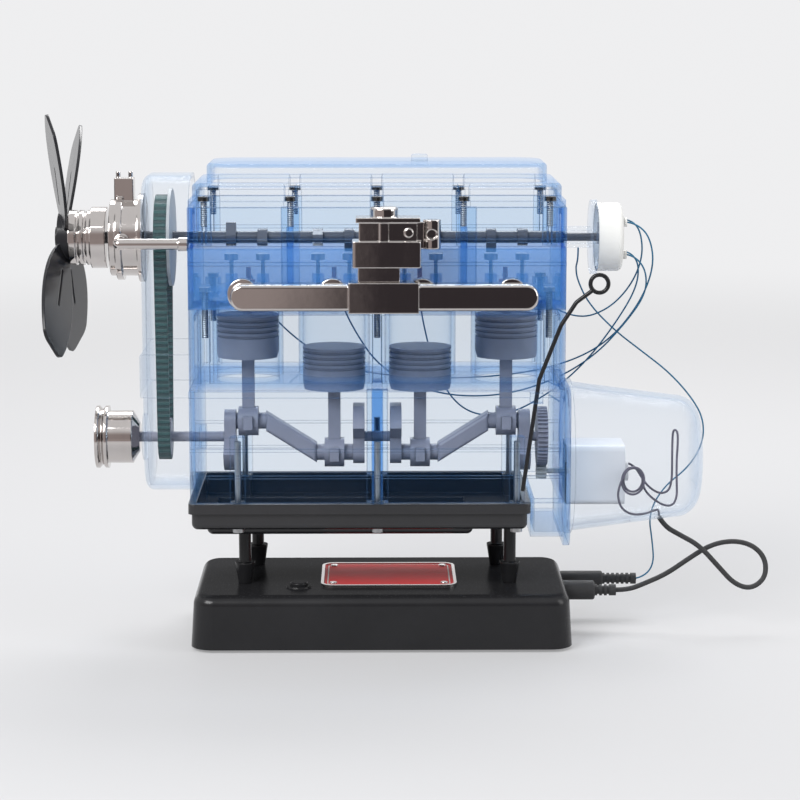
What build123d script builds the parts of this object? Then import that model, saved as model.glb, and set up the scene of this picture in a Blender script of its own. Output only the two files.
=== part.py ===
from build123d import *
import math
import os

# A see-through four cylinder teaching engine on its base.
# Millimetres. X runs along the crankshaft towards the drive motor, Y to the rear, Z up.
# The origin lies on the table, under the middle of the base.

# Fits and cutters
overrun = 1.5            # how far a cutter passes the face that it opens
running_fit = 0.06       # radial clearance of a turning shaft
sliding_fit = 0.1        # radial clearance of a piece that slides
free_gap = 0.4           # between pieces that pass without touching

# Base
base_length = 183.3
base_width = 93.0
base_height = 25.7
base_draft = 1.6
base_wall = 2.5
base_corner_radius = 11.0
base_edge_radius = 5.0
foot_height = 1.5
foot_radius = 7.0
foot_inset = 16.0
base_plate_thickness = 2.0
badge_length = 66.0
badge_width = 50.0
badge_thickness = 0.8
badge_rim_height = 0.5
badge_rim_width = 1.4
badge_corner_radius = 6.0
badge_x = 3.5
badge_y = -1.0
rivet_radius = 1.8
rivet_height = 0.8
rivet_inset = 6.0
button_radius = 4.2
button_x = -40.1
button_y = -23.0
button_rise = 2.4
button_ring_radius = 6.2
button_ring_height = 0.7
button_flange_radius = 5.6
button_flange_thickness = 1.2
button_stem_length = 6.0

# Support posts
post_x_centre = -2.0
front_post_spread = 64.5
rear_post_spread = 60.0
front_post_y = -14.0
rear_post_y = 26.0
post_radius = 3.0
post_foot_radius = 3.3
post_collar_radius = 4.9
post_collar_height = 10.6
post_collar_lip = 0.8

# Cylinder row and shafts
row_centre_x = -2.0
cylinder_pitch = 41.9
crank_z = 97.2
cam_z = 194.9
stroke = 15.6
bore_radius = 15.3
piston_radius = 15.2
liner_wall = 2.0

# Oil pan
pan_left = -92.0
pan_right = 71.0
pan_half_width = 43.0
pan_rim_top = 71.7
pan_rim_height = 4.8
pan_middle_bottom = 58.9
pan_middle_inset = 1.5
pan_sump_left = -84.0
pan_sump_right = 44.0
pan_sump_half_width = 30.0
pan_sump_bottom = 54.2
pan_wall = 2.2
pan_edge_radius = 3.0
pan_column_radius = 3.5

# Crankcase
case_left = -91.0
case_right = 87.0
case_half_width = 41.0
case_top = 125.7
case_wall = 2.5
case_lip = 1.5
case_lip_height = 3.0
case_rib_rise = 0.8
case_rib_height = 1.4
case_rib_heights = [83.9, 96.7]
bearing_boss_radius = 6.0
bearing_boss_depth = 3.0
centre_web_half = 2.6
pillar_half_width = 5.0
pillar_depth = 6.0

# Screws between pan and crankcase
pan_screw_spread = 66.5
pan_screw_y = 35.0
screw_radius = 1.5
screw_fit = 0.05
screw_head_radius = 2.8
screw_head_height = 2.0
pan_screw_top = 100.7
case_column_radius = 3.5
case_column_top = 103.2

# Cylinder block
block_half_width = 38.0
block_top = 164.2
block_wall = 2.5
block_deck = 3.0

# Cylinder head
head_top = 212.2
head_wall = 2.5
head_floor = 4.0
head_bolt_spread = 81.4
head_bolt_y = 32.0
head_bolt_bottom = 150.2
head_column_radius = 4.0
head_rail_heights = [185.0, 195.9]
head_rail_rise = 0.8
head_rail_height = 1.6
head_post_half_width = 4.2
head_post_depth = 7.0
head_post_places = [-42.8, 40.5]
tower_half_width = 6.5
tower_half_thickness = 1.6
tower_top = 200.2

# Valves
valve_offset = 7.6
valve_head_radius = 6.0
valve_head_thickness = 1.2
valve_seat_depth = 1.8
valve_cone_height = 2.2
valve_stem_radius = 1.0
valve_tappet_radius = 3.4
valve_tappet_thickness = 3.0
valve_guide_radius = 3.0
valve_guide_height = 9.0

# Spark plugs
plug_y = 11.5
plug_tip_radius = 1.6
plug_tip_length = 2.0
plug_body_radius = 2.0
plug_hex_radius = 3.2
plug_hex_height = 5.0
plug_terminal_radius = 1.2
plug_terminal_height = 6.0

# Rocker cover
cover_flange_half_width = 39.0
cover_flange_left = -91.0
cover_flange_right = 87.0
cover_flange_height = 3.0
cover_lower_height = 8.0
cover_upper_height = 8.6
cover_lower_inset = 2.0
cover_upper_left = -83.0
cover_upper_right = 79.0
cover_upper_half_width = 28.0
cover_wall = 1.8
cover_corner_radius = 8.0
cover_upper_corner_radius = 14.0
cover_edge_radius = 2.0
filler_x = 18.5
filler_radius = 4.0
filler_height = 3.2
cover_screw_y = 35.0
cover_screw_pitch = 40.6
cover_screw_length = 9.0

# Intake manifold and carburettor
manifold_left = -70.2
manifold_right = 73.0
manifold_front = -54.0
manifold_rear = -42.0
manifold_bottom = 165.2
manifold_top = 177.7
manifold_end_radius = 5.5
manifold_edge_radius = 1.6
manifold_runner_radius = 5.0
manifold_runner_flange_radius = 7.5
manifold_runner_flange_thickness = 1.4
manifold_joint_left = -15.4
manifold_joint_right = 17.3
manifold_joint_rise = 0.9
manifold_hump_radius = 7.0
manifold_hump_rise = 2.2
carb_front = -57.0
carb_rear = -41.5
carb_left = -13.6
carb_right = 18.3
carb_bottom = 185.8
carb_top = 198.0
carb_neck_left = -11.0
carb_neck_right = 8.5
carb_neck_inset = 3.0
carb_crown_left = -10.5
carb_crown_right = 16.5
carb_crown_top = 206.7
carb_ledge_top = 209.0
carb_ledge_overhang = 1.4
carb_cap_radius = 6.6
carb_cap_x = 1.2
carb_cap_height = 4.6
carb_rib_half_width = 2.1
carb_rib_rise = 1.2
carb_knob_x = 12.6
carb_knob_z = 202.1
carb_knob_radius = 2.0
carb_knob_length = 1.6
carb_barrel_x = 23.4
carb_barrel_radius = 4.2
carb_barrel_bottom = 194.2
carb_barrel_top = 207.7
carb_barrel_hole_radius = 2.3
carb_edge_radius = 1.2

# Timing drive
timing_left = -114.0
timing_half_width = 28.0
timing_bottom = 72.7
timing_top = 225.7
timing_wall = 2.0
timing_corner_radius = 20.0
timing_edge_radius = 4.0
timing_band_bottom = 120.8
timing_band_top = 141.6
timing_band_rise = 1.2
timing_boss_radius = 11.4
timing_boss_length = 2.2
belt_left = -108.5
belt_right = -102.5
belt_thickness = 1.6
belt_pitch = 3.0
crank_teeth = 20
cam_teeth = 40
belt_gap = 0.35
tooth_notch_depth = 0.7
cam_disc_radius = 23.5
cam_disc_thickness = 1.5

# Shaft ends at the fan side
crank_shaft_radius = 2.5
cam_shaft_radius = 3.0
pulley_right = -117.8
pulley_body_right = -121.2
pulley_flange_right = -133.0
pulley_left = -139.0
pulley_body_radius = 12.9
pulley_flange_radius = 15.3
pulley_cone_radius = 7.0
pulley_groove_depth = 1.6
pump_left = -130.1
pump_flange_radius = 21.5
pump_flange_thickness = 2.4
pump_body_radius = 18.5
pump_ring_radius = 20.5
pump_ring_thickness = 3.0
pump_ring_left = -127.0
pump_neck_x = -123.5
pump_neck_half = 4.6
pump_neck_top = 223.7
pump_pin_radius = 1.1
pump_pin_height = 3.0
pump_pin_spread = 3.0
hub_right = -132.1
hub_flange_left = -139.5
hub_flange_radius = 14.8
hub_left = -150.0
hub_radius = 13.3
hub_groove_width = 1.4
hub_groove_depth = 0.9
fan_plate_thickness = 5.4
fan_plate_radius = 12.0
fan_cap_radius = 5.0
fan_cap_height = 1.6
fan_radius = 73.0
fan_blades = 4
fan_first_angle = 39.0
fan_pitch_angle = 18.0
fan_blade_thickness = 1.4
fan_root_width = 10.0
fan_root_radius = 9.0
fan_belly_width = 31.0
fan_belly_radius = 46.0
fan_tip_width = 17.0
fan_tip_corner = 6.0
fan_slit_width = 1.6
fan_slit_start = 22.0
fan_slit_end = 46.0
pipe_radius = 2.6
pipe_y = -33.0
pipe_z = 194.7
pipe_left = -123.5
pipe_hose_left = -95.5
pipe_hose_wall = 0.7

# Crankshaft
pin_radius = 4.0
pin_half_length = 8.6
weight_near = 6.2
weight_far = 69.0
weight_thickness = 5.6
weight_radius = 16.8
weight_angle = 62.0
weight_arm_radius = 5.6
slant_half_height = 4.6
slant_half_thickness = 5.0
web_plug_radius = 1.1
web_plug_depth = 3.0

# Connecting rods and pistons
rod_length = 41.2
rod_big_radius = 7.2
rod_big_half_width = 4.8
rod_small_radius = 3.8
rod_half_width = 3.0
rod_shank_half = 2.4
rod_flute_depth = 0.8
rod_flute_half = 1.3
rod_bolt_half_width = 2.2
rod_bolt_reach = 9.0
rod_split_half = 3.2
wrist_pin_radius = 1.8
wrist_pin_half_length = 5.0
piston_top_above_pin = 11.2
piston_height = 20.4
piston_cavity_radius = 13.0
piston_crown = 5.0
piston_ring_depth = 0.7
piston_ring_height = 1.3
piston_ring_pitch = 2.6
piston_rings = 4
piston_skirt_notch_radius = 6.0

# Camshaft
cam_base_radius = 4.2
cam_nose_radius = 2.0
cam_nose_distance = 5.4
cam_lobe_half_width = 2.4
cam_clearance = 0.5
cam_right = 100.6
inlet_angle_shares = [0.0, 0.25, 0.75, 0.5]
outlet_lag_share = 0.3

# Flywheel gear and motor pinion
gear_module = 0.7
gear_teeth = 40
pinion_teeth = 10
gear_left = 76.0
gear_right = 81.0
gear_tooth_share = 0.38
gear_root_half_share = 0.7
gear_tip_half_share = 0.3
gear_addendum_share = 0.62
gear_dedendum_share = 1.05

# Rear plate, bell housing and motor
plate_thickness = 3.0
plate_bottom = 49.2
plate_top = 125.7
plate_half_width = 38.5
plate_corner_radius = 8.0
skirt_wall = 2.0
bell_axis_z = 87.2
bell_radius = 37.0
bell_end_radius = 30.0
bell_right = 155.6
bell_corner = 12.0
bell_wall = 2.0
bell_flange_radius = 38.0
bell_flange_thickness = 2.5
lead_hole_x = 136.8
lead_hole_radius = 2.2
wire_hole_x = 121.0
wire_hole_radius = 1.6
motor_half_width = 13.0
motor_half_height = 14.6
motor_right = 118.5
motor_corner = 3.0
motor_shaft_radius = 1.2
motor_tail_radius = 5.0
motor_tail_length = 2.5

# Distributor
distributor_sleeve_radius = 5.2
distributor_shaft_radius = 2.0
distributor_flange_left = 101.2
distributor_flange_thickness = 3.0
distributor_flange_radius = 18.0
distributor_cap_right = 116.3
distributor_cap_radius = 16.5
distributor_cap_wall = 2.0
distributor_cap_edge = 2.5
distributor_tower_radius = 2.2
distributor_tower_length = 1.8
distributor_tower_circle = 11.0
rotor_radius = 7.0
rotor_thickness = 3.0

# Dipstick
stick_stand_off = 3.6
stick_radius = 1.0
stick_clip_x = 73.0
stick_clip_drop = 2.5
stick_bottom = (-6.2, -44.7)     # this point and the next four are places from the clip
stick_knee = (1.2, 8.6)
stick_elbow = (11.3, 34.4)
stick_neck = (18.3, 45.2)
stick_ring = (29.0, 53.9)
stick_ring_radius = 4.2
stick_clip_half = 3.0
stick_clip_half_height = 2.5

# Leads and their plugs
lead_radius = 1.25
wire_radius = 0.4
bend_share = 0.45
jack_z = 19.2
front_jack_y = 2.0
rear_jack_y = 27.0
jack_radius = 3.0
plug_barrel_radius = 2.6
plug_barrel_depth = 8.0
front_plug_body_radius = 4.8
front_plug_body_length = 15.6
front_plug_relief_length = 10.5
rear_plug_body_radius = 3.9
rear_plug_body_length = 21.6
rear_plug_relief_length = 17.0
relief_radius = 2.8
relief_groove_depth = 0.7
relief_groove_width = 1.2
relief_groove_pitch = 2.4

# Places worked out from the sizes above
base_top = foot_height + base_height
jack_face_x = base_length / 2 - base_draft
throw = stroke / 2
cylinder_places = [row_centre_x + (number - 1.5) * cylinder_pitch for number in range(4)]
pin_signs = [1, -1, -1, 1]
liner_radius = bore_radius + liner_wall
motor_z = crank_z - gear_module * (gear_teeth + pinion_teeth) / 2
crank_sprocket_radius = belt_pitch * crank_teeth / (2 * math.pi) - belt_gap
cam_sprocket_radius = belt_pitch * cam_teeth / (2 * math.pi) - belt_gap
tappet_top = cam_z - cam_nose_distance - cam_nose_radius - cam_clearance
plate_right = case_right + plate_thickness
stick_y = -max(case_half_width, block_half_width + head_rail_rise) - stick_stand_off
stick_clip_z = case_top - stick_clip_drop
stick_lean = math.degrees(math.atan2(-stick_bottom[0], -stick_bottom[1]))


def slab(x_low, x_high, y_low, y_high, z_low, z_high):
    """A box between two corners."""
    middle = Pos((x_low + x_high) / 2, (y_low + y_high) / 2, (z_low + z_high) / 2)
    return middle * Box(x_high - x_low, y_high - y_low, z_high - z_low)


def round_x(radius, x_low, x_high, y=0, z=0):
    """A round bar along X."""
    return Pos((x_low + x_high) / 2, y, z) * Rot(0, 90, 0) * Cylinder(radius, x_high - x_low)


def round_y(radius, y_low, y_high, x=0, z=0):
    """A round bar along Y."""
    return Pos(x, (y_low + y_high) / 2, z) * Rot(90, 0, 0) * Cylinder(radius, y_high - y_low)


def round_z(radius, z_low, z_high, x=0, y=0):
    """A round bar along Z."""
    return Pos(x, y, (z_low + z_high) / 2) * Cylinder(radius, z_high - z_low)


def turned_x(outline, z):
    """A turned piece on an X axis at height z, from (x, radius) corners that end on the axis."""
    face = make_face(Polyline(*[(x, 0, radius) for x, radius in outline], close=True))
    return Pos(0, 0, z) * revolve(face, Axis.X)


def turned_z(outline, x, y):
    """A turned piece on a Z axis at (x, y), from (radius, z) corners that end on the axis."""
    face = make_face(Polyline(*[(radius, 0, z) for radius, z in outline], close=True))
    return Pos(x, y, 0) * revolve(face, Axis.Z)


def upright_plate(sketch, x_low, x_high, z=0):
    """A flat outline, drawn with its width along Y and its height along Z, thickened along X."""
    plane = Plane(origin=(x_low, 0, z), x_dir=(0, 1, 0), z_dir=(1, 0, 0))
    return extrude(plane * sketch, x_high - x_low)


def rounded_slab(x_low, x_high, half_width, z_low, z_high, radius):
    """A box with rounded upright corners, centred on Y."""
    outline = RectangleRounded(x_high - x_low, 2 * half_width, radius)
    return Pos((x_low + x_high) / 2, 0, z_low) * extrude(outline, z_high - z_low)


def edges_at(solid, axis, last=True):
    """The edges round the outermost face along an axis."""
    return solid.faces().sort_by(axis)[-1 if last else 0].edges()


def fused(pieces):
    """All the pieces joined into one solid."""
    return pieces[0].fuse(*pieces[1:])


def both_sides(distance):
    return (-distance, distance)


def spread_places(spread):
    """The left, middle and right place of a row about the cylinder row's centre."""
    return [row_centre_x - spread, row_centre_x, row_centre_x + spread]


def pan_screw_places():
    return [(x, y) for x in spread_places(pan_screw_spread) for y in both_sides(pan_screw_y)]


def head_bolt_places():
    return [(x, y) for x in spread_places(head_bolt_spread) for y in both_sides(head_bolt_y)]


def cover_screw_places():
    xs = [row_centre_x + step * cover_screw_pitch for step in range(-2, 3)]
    return [(x, y) for x in xs for y in both_sides(cover_screw_y)]


def post_places():
    """The four posts as (x, y), the front pair first."""
    front = [(post_x_centre + side, front_post_y) for side in both_sides(front_post_spread)]
    rear = [(post_x_centre + side, rear_post_y) for side in both_sides(rear_post_spread)]
    return front + rear


def valve_places():
    return [x + side for x in cylinder_places for side in both_sides(valve_offset)]


# Base

def make_base_shell():
    """Moulded hood, open below, with holes for the button and the two jacks."""
    lean = math.degrees(math.atan2(base_draft, base_height))
    outline = RectangleRounded(base_length, base_width, base_corner_radius)
    hollow = RectangleRounded(
        base_length - 2 * base_wall, base_width - 2 * base_wall, base_corner_radius - base_wall
    )
    outer = extrude(outline, base_height, taper=lean)
    outer = fillet(edges_at(outer, Axis.Z), base_edge_radius)
    inner = extrude(hollow, base_height - base_wall, taper=lean)
    inner = fillet(edges_at(inner, Axis.Z), base_edge_radius - base_wall)
    shell = Pos(0, 0, foot_height) * (outer - inner)
    ring = round_z(button_ring_radius, base_top, base_top + button_ring_height, button_x, button_y)
    hole = round_z(
        button_radius + sliding_fit, base_top - base_wall - overrun,
        base_top + button_ring_height + overrun, button_x, button_y
    )
    shell = shell + ring - hole
    for y, body_radius in ((front_jack_y, front_plug_body_radius), (rear_jack_y, rear_plug_body_radius)):
        shell -= round_x(jack_radius, jack_face_x - base_wall - overrun, base_length / 2 + overrun, y, jack_z)
        shell -= round_x(body_radius + free_gap, jack_face_x, base_length / 2 + overrun, y, jack_z)
    return shell


def make_base_plate():
    """Plate that closes the hood from below."""
    outline = RectangleRounded(
        base_length - 2 * (base_wall + free_gap), base_width - 2 * (base_wall + free_gap),
        base_corner_radius - base_wall - free_gap
    )
    return Pos(0, 0, foot_height) * extrude(outline, base_plate_thickness)


def make_rubber_feet():
    """Four round feet under the corners."""
    feet = []
    for x in both_sides(base_length / 2 - foot_inset):
        for y in both_sides(base_width / 2 - foot_inset):
            feet.append(round_z(foot_radius, 0, foot_height, x, y))
    return Compound(feet)


def make_badge_plate():
    """Bare plate with a raised rim and a rivet in each corner."""
    top = badge_thickness + badge_rim_height
    plate = extrude(RectangleRounded(badge_length, badge_width, badge_corner_radius), top)
    well = extrude(
        RectangleRounded(
            badge_length - 2 * badge_rim_width, badge_width - 2 * badge_rim_width,
            badge_corner_radius - badge_rim_width
        ),
        top,
    )
    plate -= Pos(0, 0, badge_thickness) * well
    for x in both_sides(badge_length / 2 - rivet_inset):
        for y in both_sides(badge_width / 2 - rivet_inset):
            rivet = round_z(rivet_radius, badge_thickness, badge_thickness + rivet_height, x, y)
            plate += fillet(edges_at(rivet, Axis.Z), rivet_height / 2)
    return Pos(badge_x, badge_y, base_top) * plate


def make_start_button():
    """Push button with a flange that keeps it under the hood's top."""
    under_top = base_top - base_wall
    cap = round_z(button_radius, under_top, base_top + button_rise, button_x, button_y)
    cap = fillet(edges_at(cap, Axis.Z), button_flange_thickness / 2)
    flange = round_z(button_flange_radius, under_top - button_flange_thickness, under_top, button_x, button_y)
    stem = round_z(button_radius / 2, under_top - button_stem_length, under_top, button_x, button_y)
    return cap + flange + stem


def make_support_posts():
    """Four posts, each with a flared collar at its foot."""
    posts = []
    for x, y in post_places():
        top = pan_middle_bottom if x > pan_sump_right else pan_sump_bottom
        collar_top = base_top + post_collar_height
        outline = [
            (0, base_top), (post_foot_radius, base_top), (post_collar_radius, collar_top - post_collar_lip),
            (post_collar_radius, collar_top), (post_radius, collar_top), (post_radius, top), (0, top),
        ]
        posts.append(turned_z(outline, x, y))
    return Compound(posts)


# Oil pan and crankcase

def make_oil_pan():
    """Stepped tray under the crankcase, with a column for each long screw."""
    middle_top = pan_rim_top - pan_rim_height
    rim = rounded_slab(pan_left, pan_right, pan_half_width, middle_top, pan_rim_top, pan_edge_radius)
    middle = rounded_slab(
        pan_left + pan_middle_inset, pan_right - pan_middle_inset, pan_half_width - pan_middle_inset,
        pan_middle_bottom, middle_top, pan_edge_radius
    )
    middle = fillet(edges_at(middle, Axis.Z, last=False), pan_edge_radius)
    sump = rounded_slab(
        pan_sump_left, pan_sump_right, pan_sump_half_width, pan_sump_bottom, pan_middle_bottom, pan_edge_radius
    )
    sump = fillet(edges_at(sump, Axis.Z, last=False), pan_edge_radius)
    pan = rim + middle + sump
    pan -= rounded_slab(
        pan_left + pan_middle_inset + pan_wall, pan_right - pan_middle_inset - pan_wall,
        pan_half_width - pan_middle_inset - pan_wall, pan_middle_bottom + pan_wall,
        pan_rim_top + overrun, pan_edge_radius / 2
    )
    pan -= rounded_slab(
        pan_sump_left + pan_wall, pan_sump_right - pan_wall, pan_sump_half_width - pan_wall,
        pan_sump_bottom + pan_wall, pan_rim_top, pan_edge_radius / 2
    )
    for x, y in pan_screw_places():
        pan += round_z(pan_column_radius, pan_middle_bottom, pan_rim_top, x, y)
        pan -= round_z(screw_radius + screw_fit, pan_sump_bottom, pan_rim_top + overrun, x, y)
    return pan


def make_pan_screws():
    """Six long screws from the pan up into the crankcase."""
    screws = []
    for x, y in pan_screw_places():
        head = round_z(screw_head_radius, pan_middle_bottom - screw_head_height, pan_middle_bottom, x, y)
        screws.append(head + round_z(screw_radius, pan_middle_bottom, pan_screw_top, x, y))
    return Compound(screws)


def hollow_box(half_width, wall, bottom, top, floor=0, ceiling=0):
    """Long box over the whole engine, hollow inside, open where floor or ceiling is zero."""
    box = slab(case_left, case_right, -half_width, half_width, bottom, top)
    low = bottom + floor if floor else bottom - overrun
    high = top - ceiling if ceiling else top + overrun
    return box - slab(case_left + wall, case_right - wall, -half_width + wall, half_width - wall, low, high)


def make_crankcase():
    """Clear box with bearings in its end walls and middle web, ribs, and columns for the screws."""
    case = hollow_box(case_half_width, case_wall, pan_rim_top, case_top)
    inner = case_half_width - case_wall
    pieces = [case]
    for z in case_rib_heights:
        pieces.append(rib_round(case_half_width, case_wall, z, case_rib_rise, case_rib_height))
    lip_bottom = case_top - case_lip_height
    pieces.append(rib_round(case_half_width, case_wall, lip_bottom, case_lip, case_lip_height))
    pieces.append(
        slab(
            row_centre_x - centre_web_half, row_centre_x + centre_web_half, -inner, inner,
            pan_rim_top, case_top
        )
    )
    for side in both_sides(inner - pillar_depth / 2):
        pieces.append(
            slab(
                row_centre_x - pillar_half_width, row_centre_x + pillar_half_width,
                side - pillar_depth / 2, side + pillar_depth / 2, pan_rim_top, case_top
            )
        )
    pieces.append(
        round_x(bearing_boss_radius, case_left + case_wall, case_left + case_wall + bearing_boss_depth, 0, crank_z)
    )
    for x, y in pan_screw_places():
        side = math.copysign(1, y)
        pieces.append(round_z(case_column_radius, pan_rim_top, case_column_top, x, y))
        pieces.append(
            slab(
                x - case_column_radius, x + case_column_radius, min(y, side * inner), max(y, side * inner),
                pan_rim_top, case_column_top
            )
        )
    pieces.append(make_stick_clip())
    case = fused(pieces)
    case -= round_x(crank_shaft_radius + running_fit, case_left - overrun, case_right + overrun, 0, crank_z)
    case -= round_x(
        motor_shaft_radius + free_gap, case_right - case_wall - overrun, case_right + overrun, 0, motor_z
    )
    for x, y in pan_screw_places():
        case -= round_z(screw_radius + screw_fit, pan_rim_top - overrun, pan_screw_top, x, y)
    return case - stick_bore()


def rib_round(half_width, wall, z_low, rise, height):
    """Rib along the front and the rear wall of a long box."""
    outer = slab(case_left, case_right, -half_width - rise, half_width + rise, z_low, z_low + height)
    inner_half = half_width - wall / 2
    return outer - slab(
        case_left - overrun, case_right + overrun, -inner_half, inner_half, z_low - overrun, z_low + height + overrun
    )


def stick_place(point):
    """A dipstick point in space, from its place beside the clip."""
    return Vector(stick_clip_x + point[0], stick_y, stick_clip_z + point[1])


def make_stick_clip():
    """Clip on the crankcase's front wall that the dipstick slides through."""
    front = stick_y - stick_clip_half
    clip = slab(
        stick_clip_x - stick_clip_half, stick_clip_x + stick_clip_half, front,
        -case_half_width + case_wall / 2, stick_clip_z - stick_clip_half_height,
        stick_clip_z + stick_clip_half_height
    )
    return clip


def stick_bore():
    """Slanted hole of the clip."""
    reach = 2 * (stick_clip_half_height + overrun)
    return Pos(*stick_place((0, 0))) * Rot(0, stick_lean, 0) * Cylinder(stick_radius + sliding_fit, reach)


# Cylinder block and head

def make_cylinder_block():
    """Clear box with four open cylinders between its two decks."""
    block = hollow_box(block_half_width, block_wall, case_top, block_top, block_deck, block_deck)
    pieces = [block]
    for x in cylinder_places:
        pieces.append(round_z(liner_radius, case_top, block_top, x))
    for x, y in head_bolt_places():
        pieces.append(round_z(head_column_radius, case_top, block_top, x, y))
    block = fused(pieces)
    for x in cylinder_places:
        block -= round_z(bore_radius, case_top - overrun, block_top + overrun, x)
    for x, y in head_bolt_places():
        block -= round_z(screw_radius + screw_fit, head_bolt_bottom, block_top + overrun, x, y)
    return block


def make_cylinder_head():
    """Clear open box with camshaft towers, valve guides and screw columns."""
    head = hollow_box(block_half_width, head_wall, block_top, head_top, head_floor)
    floor_top = block_top + head_floor
    pieces = [head]
    for z in head_rail_heights:
        pieces.append(rib_round(block_half_width, head_wall, z, head_rail_rise, head_rail_height))
    for x in [row_centre_x + step * cylinder_pitch for step in (-1, 0, 1)]:
        pieces.append(
            slab(
                x - tower_half_thickness, x + tower_half_thickness, -tower_half_width, tower_half_width,
                floor_top, tower_top
            )
        )
    for x in valve_places():
        pieces.append(round_z(valve_guide_radius, floor_top, floor_top + valve_guide_height, x))
    for x, y in head_bolt_places():
        pieces.append(round_z(head_column_radius, block_top, floor_top + head_floor, x, y))
    inner = block_half_width - head_wall
    for x in head_post_places:
        pieces.append(
            slab(
                x - head_post_half_width, x + head_post_half_width, -inner - head_wall / 2,
                -inner + head_post_depth, floor_top, head_top
            )
        )
    for x, y in cover_screw_places():
        side = math.copysign(1, y)
        pieces.append(round_z(case_column_radius, head_top - 2 * cover_screw_length, head_top, x, y - side))
    head = fused(pieces)
    head -= round_x(cam_shaft_radius + running_fit, case_left - overrun, case_right + overrun, 0, cam_z)
    for x in valve_places():
        head -= round_z(valve_stem_radius + sliding_fit, block_top, tower_top, x)
        head -= round_z(valve_head_radius + free_gap, block_top - overrun, block_top + valve_seat_depth, x)
        head -= turned_z(
            [(0, block_top + valve_seat_depth), (valve_head_radius + free_gap, block_top + valve_seat_depth),
             (valve_stem_radius + sliding_fit, block_top + valve_seat_depth + valve_cone_height),
             (0, block_top + valve_seat_depth + valve_cone_height)], x, 0
        )
    for x in cylinder_places:
        head -= round_z(plug_body_radius + screw_fit, block_top - overrun, floor_top + overrun, x, plug_y)
    for x, y in head_bolt_places():
        head -= round_z(screw_radius + screw_fit, block_top - overrun, head_top, x, y)
    for x, y in cover_screw_places():
        head -= round_z(screw_radius + screw_fit, head_top - cover_screw_length, head_top + overrun, x, y)
    return head


def make_head_bolts():
    """Six bolts that hold the head on the block."""
    bolts = []
    seat = block_top + 2 * head_floor
    for x, y in head_bolt_places():
        head = round_z(screw_head_radius, seat, seat + screw_head_height, x, y)
        bolts.append(head + round_z(screw_radius, head_bolt_bottom, seat, x, y))
    return Compound(bolts)


def make_valve(x):
    """Valve with its head under the seat and its tappet under the cam lobe."""
    low = block_top + free_gap
    cone = low + valve_head_thickness
    cone_top = cone + valve_cone_height
    tappet = tappet_top - valve_tappet_thickness
    outline = [
        (0, low), (valve_head_radius, low), (valve_head_radius, cone), (valve_stem_radius, cone_top),
        (valve_stem_radius, tappet), (valve_tappet_radius, tappet), (valve_tappet_radius, tappet_top),
        (0, tappet_top),
    ]
    return turned_z(outline, x, 0)


def make_spark_plugs():
    """Four lamps that stand for the spark plugs, screwed through the head's floor."""
    plugs = []
    floor_top = block_top + head_floor
    hex_top = floor_top + plug_hex_height
    for x in cylinder_places:
        body = round_z(plug_body_radius, block_top, floor_top, x, plug_y)
        tip = round_z(plug_tip_radius, block_top - plug_tip_length, block_top, x, plug_y)
        nut = Pos(x, plug_y, floor_top) * extrude(RegularPolygon(plug_hex_radius, 6), plug_hex_height)
        terminal = round_z(plug_terminal_radius, hex_top, hex_top + plug_terminal_height, x, plug_y)
        plugs.append(fused([body, tip, nut, terminal]))
    return Compound(plugs)


def cover_shape(inset):
    """The rocker cover's two-step body, drawn in by a wall thickness."""
    low = head_top + cover_flange_height
    shoulder = low + cover_lower_height - inset
    top = shoulder + cover_upper_height
    lower = rounded_slab(
        cover_flange_left + cover_lower_inset + inset, cover_flange_right - cover_lower_inset - inset,
        cover_flange_half_width - cover_lower_inset - inset, head_top, shoulder, cover_corner_radius - inset
    )
    upper = rounded_slab(
        cover_upper_left + inset, cover_upper_right - inset, cover_upper_half_width - inset, head_top, top,
        cover_upper_corner_radius - inset
    )
    lower = fillet(edges_at(lower, Axis.Z), cover_edge_radius)
    upper = fillet(edges_at(upper, Axis.Z), cover_edge_radius)
    return lower + upper


def make_rocker_cover():
    """Clear cover with a raised top, a flange for its screws and a filler knob."""
    flange = rounded_slab(
        cover_flange_left, cover_flange_right, cover_flange_half_width, head_top,
        head_top + cover_flange_height, cover_corner_radius
    )
    top = head_top + cover_flange_height + cover_lower_height + cover_upper_height
    knob = round_z(filler_radius, top - cover_wall / 2, top + filler_height, filler_x)
    knob = fillet(edges_at(knob, Axis.Z), cover_edge_radius / 2)
    cover = flange + cover_shape(0) + knob
    cavity = cover_shape(cover_wall)
    keep = slab(
        cover_flange_left, cover_flange_right, -cover_flange_half_width, cover_flange_half_width,
        head_top - overrun, top
    )
    cover -= cavity & keep
    for x, y in cover_screw_places():
        column_top = head_top + cover_flange_height
        cover += round_z(screw_head_radius + free_gap, head_top, column_top, x, y)
        cover -= round_z(screw_radius + screw_fit, head_top - overrun, column_top + overrun, x, y)
        cover -= round_z(screw_head_radius + free_gap / 2, column_top, top, x, y)
    return cover


def make_cover_screws():
    """Ten screws through the rocker cover's flange."""
    screws = []
    seat = head_top + cover_flange_height
    for x, y in cover_screw_places():
        head = round_z(screw_head_radius, seat, seat + screw_head_height, x, y)
        screws.append(head + round_z(screw_radius, head_top - cover_screw_length + screw_fit, seat, x, y))
    return Compound(screws)


# Intake side

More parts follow.
